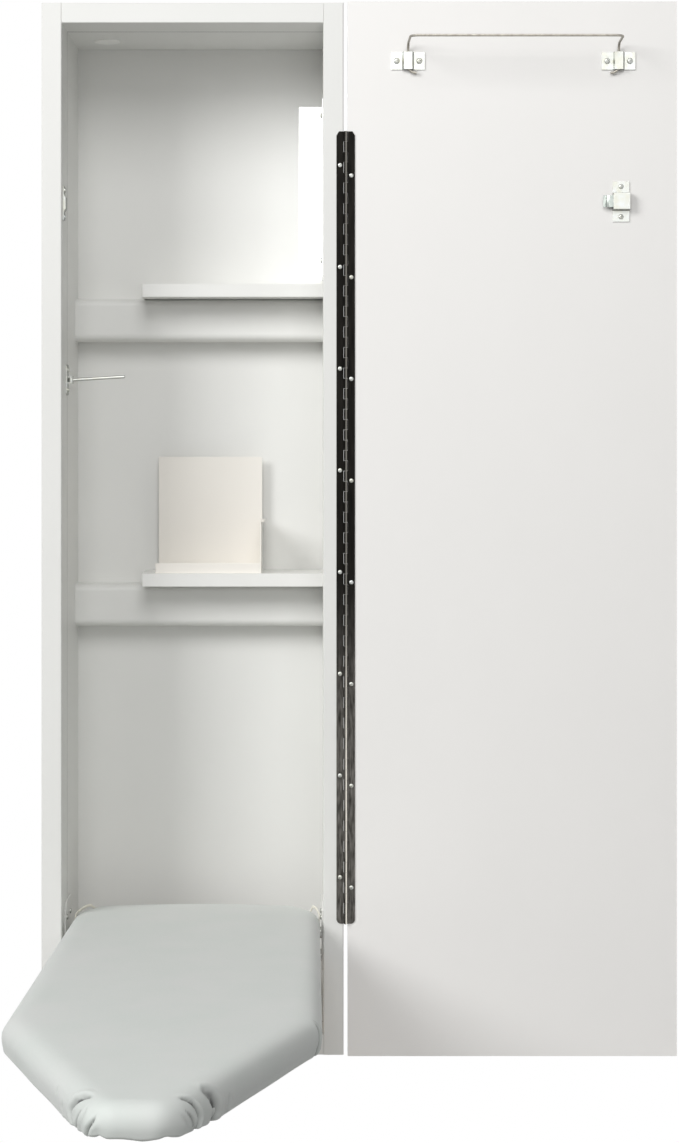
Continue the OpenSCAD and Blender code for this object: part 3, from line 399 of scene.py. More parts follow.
def polished_hinge(paint, finish):
    """Polished plate with painted reflections: dark above, cloudy and paler below, and a painted highlight
    along the knuckles.
    """
    paint.base((0.1, 0.1, 0.1), 0.3, Metallic=0.86, Specular_IOR_Level=0.2)
    low, high = (corner.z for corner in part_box("hinge_frame_leaf"))
    place = paint.coordinate()
    # Painted reflection: cloudy pale below and near black above, standing in for the bright and dark
    # surroundings mirrored in the plate
    painted_reflection_fade = paint.mapped(place["Z"], low + 0.16 * (high - low), low + 0.46 * (high - low), smooth=True)
    pale = paint.mottle((420, 420, 60), 6.0, 0.42, (0.014, 0.013, 0.010), (0.155, 0.147, 0.135))
    dark = paint.mottle((300, 300, 30), 6.0, 0.5, (0.003, 0.0028, 0.0024), (0.010, 0.009, 0.0075))
    mixed = paint.blend(painted_reflection_fade, pale["Colour"], dark["Colour"])
    # Painted highlight: a pale line along the knuckles, strongest low down, standing in for the light
    # mirrored by the round knuckles
    crown = JOINTS["door_hinge"]["pos_m"][0] + 0.7 * MM
    aside = paint.calc("ABSOLUTE", paint.calc("SUBTRACT", place["X"], crown))
    painted_highlight_crest = paint.mapped(aside, 0.3 * MM, 1.2 * MM, 1.0, 0.0, smooth=True)
    painted_knuckle_highlight = paint.calc("MULTIPLY", painted_highlight_crest, paint.mapped(painted_reflection_fade, low=1.0, high=0.22))
    paint.drive(Base_Color=paint.blend(painted_knuckle_highlight, mixed, (0.80, 0.76, 0.68, 1.0)))
    paint.gloss(pale["Mask"], 0.30, 0.48)


def silvered_glass(paint, finish):
    """Mirror: silver face, and greenish ground edges wherever the glass turns away."""
    paint.base(finish.glass, 0.02, Metallic=1.0, Coat_Weight=1.0, Coat_Roughness=0.02)
    face = paint.calc("GREATER_THAN", paint.calc("ABSOLUTE", paint.coordinate("Normal")["Y"]), 0.97)
    cloud = paint.mottle((60, 60, 60), 3.0, 0.5, (0.36, 0.56, 0.49), (0.50, 0.70, 0.63))
    paint.drive(Base_Color=paint.blend(face, cloud["Colour"], opaque(finish.glass)))
    paint.gloss(face, 0.16, 0.015)


def plywood(paint, finish):
    """Birch ply with long grain."""
    paint.base(finish.timber, 0.6)
    grain = paint.drawn((220, 9, 220), 1.2, 0.5, 0.72, 0.4, 0.12)
    dark, light = toned(finish.timber, 0.86), toned(finish.timber, 1.14)
    paint.drive(Base_Color=paint.blend(grain["Lines"], dark, light))


def cotton_cover(paint, finish):
    """Silvery coated cotton: fine weave, soft sheen, a cooler cloudiness and painted shade in the creases."""
    fabric = finish.fabric
    paint.base(fabric, 0.62, Sheen_Weight=0.12, Sheen_Roughness=0.45)
    cool = (fabric[0] * 0.955, fabric[1] * 0.985, fabric[2] * 0.97)
    cloud = paint.mottle((14, 10, 14), 3.0, 0.45, toned(fabric, 1.015), cool)
    # Painted shade: the colour darkens where the gathers' valleys lie, standing in for the shadow deep in the
    # folds
    painted_crease_shade = paint.put("Attribute", attribute_name="Creases").outputs["Fac"]
    paint.drive(Base_Color=paint.blend(painted_crease_shade, cloud["Colour"], toned(fabric, 0.05)))
    slubs = paint.mottle((700, 160, 700), 4.0, 0.5)
    paint.gloss(slubs["Mask"], 0.55, 0.7)
    paint.bump(slubs["Height"], 0.25, 0.08)
    paint.bump(paint.effect("Plain Weave", Pitch=0.0008)["Height"], 0.2, 0.03)


SPECIAL = (joined_laminate, zinc, drawn_wire, bright_sheet, polished_hinge, silvered_glass, plywood,
           cotton_cover)
MATERIALS = {make.__name__: make for make in SPECIAL}


def material(slot):
    """The finish of one of the record's slots, made when it is first wanted."""
    name = slot.replace("_", " ").capitalize()
    found = bpy.data.materials.get(name)
    if not found:
        paint, finish = Paint(name), bpy.context.scene.cabinet_finish
        if slot in COATINGS:
            coated(paint, finish, *COATINGS[slot])
        if slot in CLOUDY:
            cloudy(paint, **CLOUDY[slot])
        if slot in MATERIALS:
            MATERIALS[slot](paint, finish)
        found = paint.material
    return found


# ---------------------------------------------------------------- mesh helpers

WELD_AT = 0.00002                 # points of a made mesh that are closer than this are one
SAME_AT = 0.00001                 # and points of a CAD node
SHARP_AT = math.radians(35)


def new_piece(name, vertices, faces, slot, body):
    """A finished mesh that rides on a body and wears a slot's material."""
    mesh = bpy.data.meshes.new(name)
    mesh.from_pydata([tuple(v) for v in vertices], [], faces)
    mesh.validate()
    mesh.polygons.foreach_set("use_smooth", [True] * len(mesh.polygons))
    mesh.materials.append(material(slot))
    made = bpy.data.objects.new(name, mesh)
    bpy.context.scene.collection.objects.link(made)
    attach(made, body)
    return made


def smoothstep(low, high, value):
    t = min(1.0, max(0.0, (value - low) / (high - low)))
    return t * t * (3 - 2 * t)


def blur(p, scale, seed):
    """Smooth noise from -1 to 1 at a place."""
    return noise.noise(Vector(p) * scale + Vector((seed, seed * 0.7, seed * 1.3)))


def ring_faces(total, n, start):
    """Faces of a tube of rings of n points each, from a first point: quads, then the two ends."""
    quads = [(r + i, r + (i + 1) % n, r + n + (i + 1) % n, r + n + i)
             for r in range(start, start + total - n, n) for i in range(n)]
    first, last = range(start + n - 1, start - 1, -1), range(start + total - n, start + total)
    return [*quads, tuple(first), tuple(last)]


@contextmanager
def edited(mesh):
    """A mesh opened for changes, and closed again."""
    work = bmesh.new()
    work.from_mesh(mesh)
    yield work
    work.to_mesh(mesh)
    work.free()


def sharpen(mesh):
    """Marks sharp edges by angle, so that smooth shading stops at them."""
    with edited(mesh) as work:
        for edge in work.edges:
            edge.smooth = edge.calc_face_angle(math.pi) < SHARP_AT


def weld(mesh):
    """Joins points that lie together and turns every face outwards."""
    with edited(mesh) as work:
        bmesh.ops.remove_doubles(work, verts=work.verts, dist=WELD_AT)
        bmesh.ops.dissolve_degenerate(work, dist=WELD_AT, edges=work.edges)
        bmesh.ops.recalc_face_normals(work, faces=work.faces)


def dress(slot, names, round_edge=0.0):
    """Gives CAD nodes their material and, where asked, a rounded edge (mm) that catches the light."""
    for name in names.split():
        node = NODES[name]
        node.data.materials.clear()
        node.data.materials.append(material(slot))
        if round_edge:
            merge = node.modifiers.new("Weld", "WELD")
            merge.merge_threshold = SAME_AT
            bevel = node.modifiers.new("Fine edge", "BEVEL")
            bevel.width = round_edge * MM
            bevel.segments = 2
            bevel.limit_method = "ANGLE"
            bevel.angle_limit = math.radians(40)
            bevel.use_clamp_overlap = True


# ---------------------------------------------------------------- screws

class Screw:
    """Pan head with a cross recess, and its shank."""

    dome = ((1.0, 0.0), (1.0, 0.34), (0.96, 0.5), (0.86, 0.7), (0.72, 0.87), (0.58, 0.96))
    recess = ((1.0, 0.0), (0.82, 0.42), (0.5, 0.72))        # share of the cross, depth as a share of the head
    arm = 0.5                    # half length and half width of the cross, as shares of the head's radius
    half = 0.13

    def __init__(self, head_d, head_h, shank_d, shank_l):
        self.head_r = head_d / 2
        self.head_h = head_h
        self.shank_r = shank_d / 2
        self.shank_l = shank_l
        tip = math.atan2(self.half, self.arm)
        square = math.pi / 2
        quarter = (0.0, tip, tip + 0.12, square / 2, square - tip - 0.12, square - tip)
        # The points round the head fall on the recess's corners
        self.turns = [q * square + a for q in range(4) for a in quarter]

    def cross(self, angle):
        """Reach of the cross recess in one direction, as a share of the head's radius."""
        c, s = max(1e-6, abs(math.cos(angle))), max(1e-6, abs(math.sin(angle)))
        return max(min(self.arm / c, self.half / s), min(self.half / c, self.arm / s))

    def rings(self):
        """Rings of points from the shank's tip over the head and down into the recess."""
        levels = [(self.shank_r * 0.5, -self.shank_l), (self.shank_r, self.shank_r - self.shank_l),
                  (self.shank_r, 0.0)]
        levels += [(r * self.head_r, z * self.head_h) for r, z in self.dome]
        rings = [[(r * math.cos(a), r * math.sin(a), z) for a in self.turns] for r, z in levels]
        for share, deep in self.recess:
            reach = [share * self.cross(a) * self.head_r for a in self.turns]
            rings.append([(r * math.cos(a), r * math.sin(a), self.head_h * (1.0 - deep))
                          for r, a in zip(reach, self.turns)])
        return rings

    def points(self, place, facing, turn):
        """Points of one screw whose head's underside lies at place."""
        side = Matrix.Rotation(turn, 3, facing) @ facing.orthogonal().normalized()
        other = facing.cross(side)
        return [place + side * x + other * y + facing * z for ring in self.rings() for x, y, z in ring]


def islands(node):
    """Lists of the points of each separate solid in a CAD node."""
    work = bmesh.new()
    work.from_mesh(NODES[node].data)
    bmesh.ops.remove_doubles(work, verts=work.verts, dist=SAME_AT)
    left = set(work.verts)
    found = []
    while left:
        edge = [left.pop()]
        points = []
        while edge:
            vertex = edge.pop()
            points.append(vertex.co.copy())
            for link in vertex.link_edges:
                other = link.other_vert(vertex)
                if other in left:
                    left.remove(other)
                    edge.append(other)
        found.append(points)
    work.free()
    return found


def screw_places(node, facing, head_h):
    """Where each screw's head lies on its surface, sorted so that the order never changes."""
    places = []
    for points in islands(node):
        top = max(p.dot(facing) for p in points)
        tip = [p for p in points if p.dot(facing) > top - 0.00005]
        places.append(sum(tip, Vector()) / len(tip) - facing * head_h)
    return sorted(places, key=lambda p: (round(p.z, 4), round(p.x, 4), round(p.y, 4)))


def screw_set(node, body, ways, *sizes):
    """Replaces a node of plain screws by screws with cross recesses, each turned its own way."""
    kind = Screw(*[size * MM for size in sizes])
    vertices, faces = [], []
    for facing in ways:
        for index, place in enumerate(screw_places(node, facing, kind.head_h)):
            if len(ways) > 1 and place.x * facing.x >= 0:
                continue                    # this one is on the other wall and points the other way
            points = kind.points(place, facing, 0.5 + 1.7 * index + 9.0 * place.z)
            faces += ring_faces(len(points), len(kind.turns), len(vertices))
            vertices += points
    made = new_piece(node + "_detail", vertices, faces, "zinc", body)
    sharpen(made.data)
    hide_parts(node)


# Screws: node, body, the ways that the heads point; in mm the head, its height, the shank, its length
SCREWS = (
    ("hinge_frame_screws", "cabinet", ("front",), 5.4, 1.5, 2.4, 11),
    ("hinge_door_screws", "door", ("front",), 5.4, 1.5, 2.4, 11),
    ("bar_bracket_screws", "door", ("front",), 7, 2.2, 3.2, 10),
    ("catch_screws", "door", ("front",), 6, 1.8, 3.2, 10),
    ("strike_screws", "cabinet", ("right",), 6, 1.8, 3.2, 11),
    ("rod_bracket_screws", "cabinet", ("right",), 6, 1.8, 3.2, 11),
    ("heat_shield_screws", "cabinet", ("left",), 7, 2.2, 3.2, 11),
    ("pivot_plate_screws", "cabinet", ("right", "left"), 6.4, 1.6, 3.2, 11),
    ("iron_holder_screws", "cabinet", ("up",), 7, 2.2, 3.2, 10),
    ("leg_seat_screws", "cabinet", ("up",), 7, 2.2, 3.2, 11),
    ("board_rail_screws", "board", ("under",), 7, 2.2, 3.2, 11),
    ("leg_bracket_screws", "board", ("under",), 6, 1.8, 3.2, 11),
)


# ---------------------------------------------------------------- board plan

class BoardPlan:
    """Plan and profile of the covered board in its own space, with its pivot at the origin."""

    step = 0.0005                # between the points of the fine line
    bow_r = 0.400                # radii of the tail's edge, its corners, the shoulders and the nose's corners
    tail_r = 0.050
    shoulder_r = 0.055
    nose_r = 0.032
    nose_bow = 0.0026

    def __init__(self, cover):
        low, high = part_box("board_cover")
        self.cover = cover
        self.half = (high.x - low.x) / 2
        self.pivot = Vector(JOINTS["board_fold"]["pos_m"])
        self.angle = math.atan((self.half - cover.nose / 2) / (cover.reach - cover.taper))
        self.to_row = Matrix.Translation(self.pivot) @ Matrix.Rotation(-cover.slope, 4, "X")

    def arcs(self):
        """Arcs of the right half, tail first: centre, radius, first and last direction of the normal."""
        c = self.cover
        tail_x = self.half - self.tail_r
        inner = self.bow_r - self.tail_r
        tail_y = c.tail - self.bow_r + math.sqrt(inner ** 2 - tail_x ** 2)
        turn = math.acos(tail_x / inner)
        quarter = math.pi / 2
        return [
            ((0.0, c.tail - self.bow_r), self.bow_r, quarter, turn),
            ((tail_x, tail_y), self.tail_r, turn, 0.0),
            ((self.half - self.shoulder_r, -c.taper + self.shoulder_r * math.tan(self.angle / 2)),
             self.shoulder_r, 0.0, -self.angle),
            ((c.nose / 2 - self.nose_r * math.tan(math.pi / 4 - self.angle / 2), -c.reach + self.nose_r),
             self.nose_r, -self.angle, -quarter)]

    def fine_line(self):
        """Closely spaced (x, y, normal direction) from the middle of the tail to the middle of the nose."""
        line = []
        for (cx, cy), r, first, last in self.arcs():
            n = max(2, round(r * abs(last - first) / self.step))
            arc = [(cx + r * math.cos(a), cy + r * math.sin(a), a)
                   for a in (first + (last - first) * i / n for i in range(n + 1))]
            if line:
                line += self.straight(line[-1], arc[0])
            line += arc
        line += self.straight(line[-1], (0.0, *line[-1][1:]))
        line.append((0.0, *line[-1][1:]))
        return line

    def straight(self, a, b):
        """Points between two ends, without the ends."""
        n = round(math.dist(a[:2], b[:2]) / self.step)
        return [(a[0] + (b[0] - a[0]) * i / n, a[1] + (b[1] - a[1]) * i / n, b[2]) for i in range(1, n)]

    def spacing(self, y):
        """How far apart the cover's points lie: close together at the nose's gathers and the shoulders."""
        c = self.cover
        near_nose = smoothstep(-c.reach + 0.17, -c.reach + 0.09, y)
        near_shoulder = math.exp(-((y + c.taper) / 0.035) ** 2)
        near_tail = smoothstep(-0.06, 0.0, y)
        return 0.007 - 0.0058 * near_nose - 0.0052 * near_shoulder * (1 - near_nose) - 0.003 * near_tail

    def half_outline(self):
        """Chosen points of the right half as (x, y, normal direction, distance from the nose's middle)."""
        fine = self.fine_line()
        along = [0.0]
        for a, b in zip(fine, fine[1:]):
            along.append(along[-1] + math.dist(a[:2], b[:2]))
        total = along[-1]
        chosen, due = [], 0.0
        for (x, y, normal), s in zip(fine, along):
            if s >= due:
                chosen.append((x, y, normal, total - s))
                due = s + self.spacing(y)
        chosen[-1] = (*fine[-1], 0.0)
        return chosen

    def outline(self):
        """The whole outline, tail middle first and round by the right: (x, y, normal, signed distance)."""
        right = self.half_outline()
        left = [(-x, y, math.pi - normal, -s) for x, y, normal, s in reversed(right[1:-1])]
        bowed = []
        for x, y, normal, s in right + left:
            front = max(0.0, 1 - (x / (self.cover.nose / 2)) ** 2)
            bowed.append((x, y - self.nose_bow * front * smoothstep(0.35, 1.0, -math.sin(normal)), normal, s))
        return bowed


# ---------------------------------------------------------------- cover

class Fold:
    """A gather: a valley along a path over the cover's edge, with a swollen ridge on either side and painted
    shade in the valley.

    The path's points are (distance along the edge from the middle of the nose, minus on the left;
    distance down from the middle of the rounded edge). The two sides are left and right of someone who
    walks down the path.
    """

    def __init__(self, path, depth, slopes, ridges, swell, lean, taper, painted_shade):
        self.path = [Vector((x * MM, y * MM)) for x, y in path]
        self.depth = depth * MM
        self.slopes = [w * MM for w in slopes]      # widths of the valley's two sides
        self.ridges = [h * MM for h in ridges]      # heights of the ridges
        self.swell = swell * MM                     # half width of a ridge
        self.lean = lean * MM                       # how far a ridge hangs over: plus right, minus left
        self.taper = taper                          # shares of the path over which the fold deepens and fades
        self.painted_shade = painted_shade                          # painted shade: how dark the cloth is painted at the bottom
        self.steps = [(b - a).length for a, b in zip(self.path, self.path[1:])]
        self.total = sum(self.steps)
        reach = max(self.slopes) * 2.5 + 3 * self.swell
        along, down = zip(*self.path)
        self.low = Vector((min(along) - reach, min(down) - reach))
        self.high = Vector((max(along) + reach, max(down) + reach))

    def nearest(self, p):
        """Way from the path to the place, its side (0 left, 1 right) and the share of the path behind it."""
        best, side, share, gone = None, 0, 0.0, 0.0
        for a, b, step in zip(self.path, self.path[1:], self.steps):
            line = b - a
            u = min(1.0, max(0.0, (p - a).dot(line) / (step * step)))
            off = p - (a + line * u)
            if best is None or off.length < best.length:
                best = off
                side = 0 if line.x * off.y - line.y * off.x > 0 else 1
                share = (gone + u * step) / self.total
            gone += step
        return best, side, share

    def shift(self, s, t):
        """How far the cloth stands out at a place and leans along and down the edge, and how dark its painted
        shade is.
        """
        if not (self.low.x < s < self.high.x and self.low.y < t < self.high.y):
            return Vector((0, 0, 0, 0))
        off, side, share = self.nearest(Vector((s, t)))
        start, stop = self.taper
        opened = smoothstep(0.0, start, share + 0.02)
        far, slope = off.length, self.slopes[side] * (0.35 + 0.65 * opened)
        rise = opened * (1 - smoothstep(1 - stop, 1.05, share))
        ridge = self.ridges[side] * math.exp(-((far - slope - self.swell) / (1.1 * self.swell)) ** 2)
        out = ridge - self.depth * math.exp(-(far / slope) ** 2)
        leans = self.lean > 0 and side == 1 or self.lean < 0 and side == 0
        push = Vector((0, 0))
        if leans and far > 0:
            push = off * (-abs(self.lean) / far * math.exp(-((far - 1.6 * slope) / self.swell) ** 2))
            push *= smoothstep(0.0, 0.8 * slope, far)
        painted_shade = self.painted_shade * math.exp(-1.2 * (far / slope) ** 2) * smoothstep(0.0, 0.2, share + 0.02)
        return Vector((out * rise, push.x * rise, push.y * rise, painted_shade))


# Gathers at the nose and the shoulders, where the cloth is drawn in under the board (millimetres), each
# ending with its painted shade
FOLDS = [
    Fold([(-58, -10), (-65, -8), (-74, -2), (-81, 5), (-84, 12), (-82, 19), (-76, 28)],
         8.0, (5.4, 3.0), (2.2, 1.4), 3.6, 0.5, (0.45, 0.02), 1.0),
    Fold([(-55, 1), (-58, 7), (-62, 14), (-68, 21), (-70, 27)],
         4.6, (2.2, 2.0), (0.3, 1.2), 2.6, 0.5, (0.5, 0.02), 0.8),
    Fold([(-32, 3), (-34, 9), (-39, 16), (-43, 25)],
         4.0, (1.1, 1.3), (0.9, 1.0), 2.4, 0.6, (0.30, 0.02), 0.9),
    Fold([(-47, -6), (-48, 4), (-51, 12), (-55, 21)],
         1.4, (2.2, 2.4), (0.5, 0.5), 3.0, 0.0, (0.5, 0.3), 0.08),
    Fold([(53, -11), (59, -8), (65, -1), (68, 7), (70, 14), (69, 21), (63, 29)],
         6.4, (2.2, 3.2), (0.8, 2.2), 3.2, 0.0, (0.35, 0.02), 0.95),
    Fold([(46, 0), (51, 6), (56, 13), (60, 22)],
         3.4, (1.0, 1.2), (0.9, 0.6), 2.2, 0.0, (0.45, 0.02), 0.75),
    Fold([(38, 1), (45, 8), (51, 17)],
         1.3, (2.0, 2.0), (0.5, 0.4), 2.6, 0.0, (0.6, 0.3), 0.10),
    Fold([(92, -6), (101, -2), (107, 4), (110, 10), (111, 18), (108, 27)],
         5.4, (8.0, 7.0), (1.0, 1.4), 4.5, 0.0, (0.35, 0.02), 0.70),
    Fold([(106, 4), (109, 10), (111, 17), (109, 26)],
         3.4, (2.4, 3.0), (0.2, 0.8), 3.0, 0.0, (0.55, 0.02), 0.75),
    Fold([(-143, 2), (-145, 8), (-144, 14)],
         1.0, (2.6, 2.8), (0.4, 0.4), 3.0, 0.0, (0.4, 0.5), 0.06),
    Fold([(-116, 8), (-120, 16), (-118, 25)],
         1.2, (2.6, 2.8), (0.4, 0.3), 3.0, 0.0, (0.5, 0.1), 0.08),
    Fold([(138, 6), (141, 13), (140, 24)],
         1.2, (3.0, 3.0), (0.3, 0.3), 3.0, 0.0, (0.5, 0.1), 0.08),
    Fold([(-320, 4), (-321, 12), (-319, 20)],
         0.9, (2.4, 2.6), (0.3, 0.3), 3.0, 0.0, (0.4, 0.4), 0.06),
    Fold([(389, -6), (384, 5), (380, 14), (372, 27)],
         4.4, (3.2, 2.6), (1.0, 0.8), 2.8, 0.0, (0.35, 0.02), 0.85),
    Fold([(397, -9), (394, 1), (392, 12)],
         3.0, (2.2, 2.0), (0.5, 0.5), 2.2, 0.0, (0.4, 0.3), 0.6),
    Fold([(-395, 2), (-391, 10), (-388, 20)],
         1.5, (2.2, 2.6), (0.4, 0.3), 2.8, 0.0, (0.4, 0.2), 0.1),
]


class CoverShape:
    """The cover's surface: rings from the board's spine over the padded edge to the hem under the skirt."""

    edge_steps = 14
    rim = 0.018                  # how far in from the outline the rings still follow it
    drop = 0.0185                # from the top down to where the edge is upright
    wood_inset = 0.006           # from the outline in to the wooden board's edge
    wood_clear = 0.0014          # what a valley leaves between the cloth and the wood
    spine_tail = 0.085           # from the tail and from the nose to the ends of the top's spine
    spine_nose = 0.055
    tail_climb = (-0.060, -0.026, 0.60)                     # where the hem rises at the tail, and its share
    # Skirt and hem as (inset, height above the skirt's lower edge)
    hem = ((0.0001, 0.0125), (0.0003, 0.0105), (0.0006, 0.0085), (0.0009, 0.0066), (0.0012, 0.0050),
           (0.0014, 0.0036), (0.0018, 0.0023), (0.0026, 0.0011), (0.0038, 0.0002), (0.0051, 0.0003),
           (0.0061, 0.0015), (0.0064, 0.0034), (0.0060, 0.0056), (0.0055, 0.0080), (0.0053, 0.0110))
    top_steps = (0.0, 0.14, 0.28, 0.41, 0.53, 0.64, 0.73, 0.80, 0.86, 0.91, 0.95, 0.98)

    def __init__(self, plan, lower=0.0):
        self.plan = plan
        self.cover = plan.cover
        self.lower = lower
        self.outline = plan.outline()
        to_board = plan.to_row.inverted()
        heights = [(to_board @ v.co).z for v in NODES["board_core"].data.vertices]
        self.wood_low, self.wood_high = min(heights), max(heights)
        self.tree = kdtree.KDTree(len(self.outline))
        for i, p in enumerate(self.outline):
            self.tree.insert((p[0], p[1], 0.0), i)
        self.tree.balance()

    def soft(self, normal):
        """How far in the edge rounds over: widely on the flanks, less at the nose and tightly at the tail."""
        end = 0.85 if math.sin(normal) < 0 else 0.38
        return self.cover.crown * (end + (1 - end) * smoothstep(0.25, 0.95, abs(math.cos(normal))))

    def height(self, inset, soft):
        """Height of the rounded edge above the board's pivot line, at a distance in from the outline."""
        out = min(1.0, max(0.0, 1 - inset / soft))
        return self.cover.top - self.drop * (1 - math.sqrt(max(0.0, 1 - out ** 3.2)))

    def profile(self):
        """Rings of the edge and skirt as (share of the rim or inset, height, distance down the edge)."""
        c = self.cover
        rings = []
        for i in range(self.edge_steps + 1):
            share = 1 - math.sin(math.pi / 2 * i / self.edge_steps) ** 1.25
            inset = self.rim * share
            rings.append((inset, self.height(inset, 0.7 * c.crown)))
        foot = c.top - c.skirt
        rings += [(inset, foot + height) for inset, height in self.hem]
        down = [0.0]
        for a, b in zip(rings, rings[1:]):
            down.append(down[-1] + math.dist(a, b))
        middle = down[self.edge_steps] * 0.6
        return [(inset, height, s - middle) for (inset, height), s in zip(rings, down)]

    def raised_tail(self, y, z):
        """The hem climbs over the pivots at the board's tail."""
        pinned = self.cover.top - self.drop
        if z > pinned:
            return z
        start, stop, share = self.tail_climb
        return pinned - (pinned - z) * (1 - share * smoothstep(start, stop, y))

    def gathered(self, s, t):
        """The gathers' shift, lean and painted shade at a place on the edge."""
        return sum((f.shift(s, t) for f in FOLDS), Vector((0, 0, 0, 0)))

    def place(self, p, inset, z, t):
        """One point of the cover, with its folds, waves and soft unevenness."""
        x, y, normal, s = p
        c = self.cover
        out = Vector((math.cos(normal), math.sin(normal), 0.0))
        base = Vector((x, y, 0.0)) - out * inset
        rounded = z > c.top - self.drop + 0.00001
        if rounded:
            z = self.height(inset, self.soft(normal))
        height = self.raised_tail(base.y, z)
        turn = (1 - inset / self.rim) ** 1.5 * math.pi / 2 if rounded else math.pi / 2
        facing = out * math.sin(turn) + Vector((0, 0, 1)) * math.cos(turn)
        shift, along, sunk, _ = c.fold * self.gathered(s, t)
        shift += smoothstep(0.0, 0.02, t) * 0.0006 * blur((s, 0, 0), 14.0, 4.0)
        nose = smoothstep(-c.reach + 0.10, -c.reach + 0.01, y)
        wave = nose * smoothstep(0.010, 0.030, t)
        height += wave * hem_wave(s)
        shift = max(shift, -self.room(inset, height))
        leaning = Vector((-out.y, out.x, 0.0)) * along
        leaning += (out * math.cos(turn) - Vector((0, 0, 1)) * math.sin(turn)) * sunk
        return base + facing * (shift - self.lower) + leaning + Vector((0, 0, height))

    def room(self, inset, z):
        """How deep a valley may sink before it meets the wooden board."""
        aside = max(0.0, self.wood_inset - inset)
        above = max(0.0, z - self.wood_high, self.wood_low - z)
        return max(0.0, math.hypot(aside, above) - self.wood_clear)

    def spine(self, y):
        """Where the rings of the top meet along the board's middle."""
        c = self.cover
        return Vector((0.0, min(c.tail - self.spine_tail, max(-c.reach + self.spine_nose, y)), 0.0))

    def top_height(self, point):
        """Height of the padded top: its rounding towards the outline and a soft unevenness."""
        place, index, distance = self.tree.find((point.x, point.y, 0.0))
        z = self.height(distance, self.soft(self.outline[index][2]))
        return z + 0.0005 * blur(point, 7.0, 2.0) + 0.0003 * blur(point, 17.0, 5.0) - self.lower

    def painted_shades(self):
        """Painted shade: how dark the cloth is painted in its gathers, one value for each point of the rings.
        """
        plain = [0.0] * len(self.outline) * len(self.top_steps)
        return plain + [min(1.0, self.gathered(p[3], t).w)
                        for _, _, t in self.profile() for p in self.outline]

    def rings(self):
        edge = [[self.place(p, inset, z, t) for p in self.outline] for inset, z, t in self.profile()]
        top = []
        for share in self.top_steps:
            ring = []
            for rim in edge[0]:
                point = self.spine(rim.y).lerp(Vector((rim.x, rim.y, 0.0)), share)
                point.z = self.top_height(point)
                ring.append(point)
            top.append(ring)
        for p, rim, *ring in zip(self.outline, edge[0], *top):
            dent = rim.z - self.top_height(Vector((rim.x, rim.y, 0.0)))
            for point, share in zip(ring, self.top_steps):
                point.z += dent * smoothstep(0.72, 1.0, share)
        return top + edge

    def mesh(self, rings):
        """The rings' points in the row frame, and quads between them."""
        n = len(self.outline)
        vertices = [self.plan.to_row @ p for ring in rings for p in ring]
        quads = ring_faces(len(vertices), n, 0)[:-2]
        return vertices, [(a, d, c, b) for a, b, c, d in quads]


# The hem's waves round the nose as (place along the edge, width, rise), in millimetres
HEM_WAVES = ((-29, 4, 2.2), (-12, 9, 0.5), (7, 8, -1.3), (27, 5, 1.6), (41, 5, -0.6), (-44, 6, -0.8),
             (-88, 7, 1.6), (65, 6, 1.5), (84, 8, -0.7), (107, 5, 1.8), (-66, 6, -0.6))


def hem_wave(s):
    """How the gathered hem rises and falls round the nose."""
    drawn_up = 4.6 * (1 - smoothstep(72.0, 135.0, abs(s) / MM))
    waves = [rise * math.exp(-((s / MM - place) / width) ** 2) for place, width, rise in HEM_WAVES]
    return MM * (drawn_up + sum(waves))


def map_cloth(made, plan):
    """UV map in metres for the weave: plan on the top, and along and down on the skirt."""
    layer = made.data.uv_layers.new(name="Cloth")
    to_board = plan.to_row.inverted()
    for face in made.data.polygons:
        up = abs((to_board.to_3x3() @ face.normal).z)
        for loop in face.loop_indices:
            point = to_board @ made.data.vertices[made.data.loops[loop].vertex_index].co
            layer.data[loop].uv = (point.x, point.y) if up > 0.6 else (point.x + point.y, point.z)


# ---------------------------------------------------------------- operators

PAD_UNDER = 0.0004                # the pad's clearances: under the cloth, at its edge and off the wood
PAD_EDGE = 0.0006
PAD_OFF = 0.0003


class CABINET_OT_white_parts(bpy.types.Operator):
    """Finish the cabinet's white board, its plug and its plates"""

    bl_idname = "cabinet.white_parts"
    bl_label = "White parts"

    def execute(self, context):
        dress("white_laminate", "frame_left_stile frame_right_stile frame_top_rail frame_bottom_rail "
                                "back_panel upper_cleat lower_cleat")
        # The box panels carry a painted shadow line along their seam with the frame
        dress("joined_laminate", "left_side right_side top_panel bottom_panel", 0.9)
        dress("white_laminate", "upper_shelf lower_shelf", 0.6)
        # The door's board is painted brighter than the cabinet's to stand in for more light
        dress("door_laminate", "door_panel", 0.6)
        dress("white_enamel", "pivot_plate_left pivot_plate_right", 0.3)
        dress("white_plastic", "hole_plug")
        return {"FINISHED"}


class CABINET_OT_iron_store(bpy.types.Operator):
    """Finish the iron's holder and the heat shield beside it"""

    bl_idname = "cabinet.iron_store"
    bl_label = "Iron holder and heat shield"

    def execute(self, context):
        dress("cream_enamel", "iron_holder", 0.35)
        dress("bright_sheet", "heat_shield")
        return {"FINISHED"}


class CABINET_OT_hardware(bpy.types.Operator):
    """Finish the zinc-plated brackets, bars, bolts, rails and the leg"""

    bl_idname = "cabinet.hardware"
    bl_label = "Hardware"

    def execute(self, context):
        dress("drawn_wire", "garment_bar")
        dress("zinc", "strike_plate bar_bracket_left bar_bracket_right catch_bracket leg_seat", 0.25)
        dress("zinc", "rod_bracket retainer_rod pivot_bolts board_rail_left board_rail_right leg_bracket "
                      "leg_pin support_leg")
        dress("spring_steel", "catch_spring", 0.15)
        dress("black_rubber", "leg_foot", 1.0)
        return {"FINISHED"}


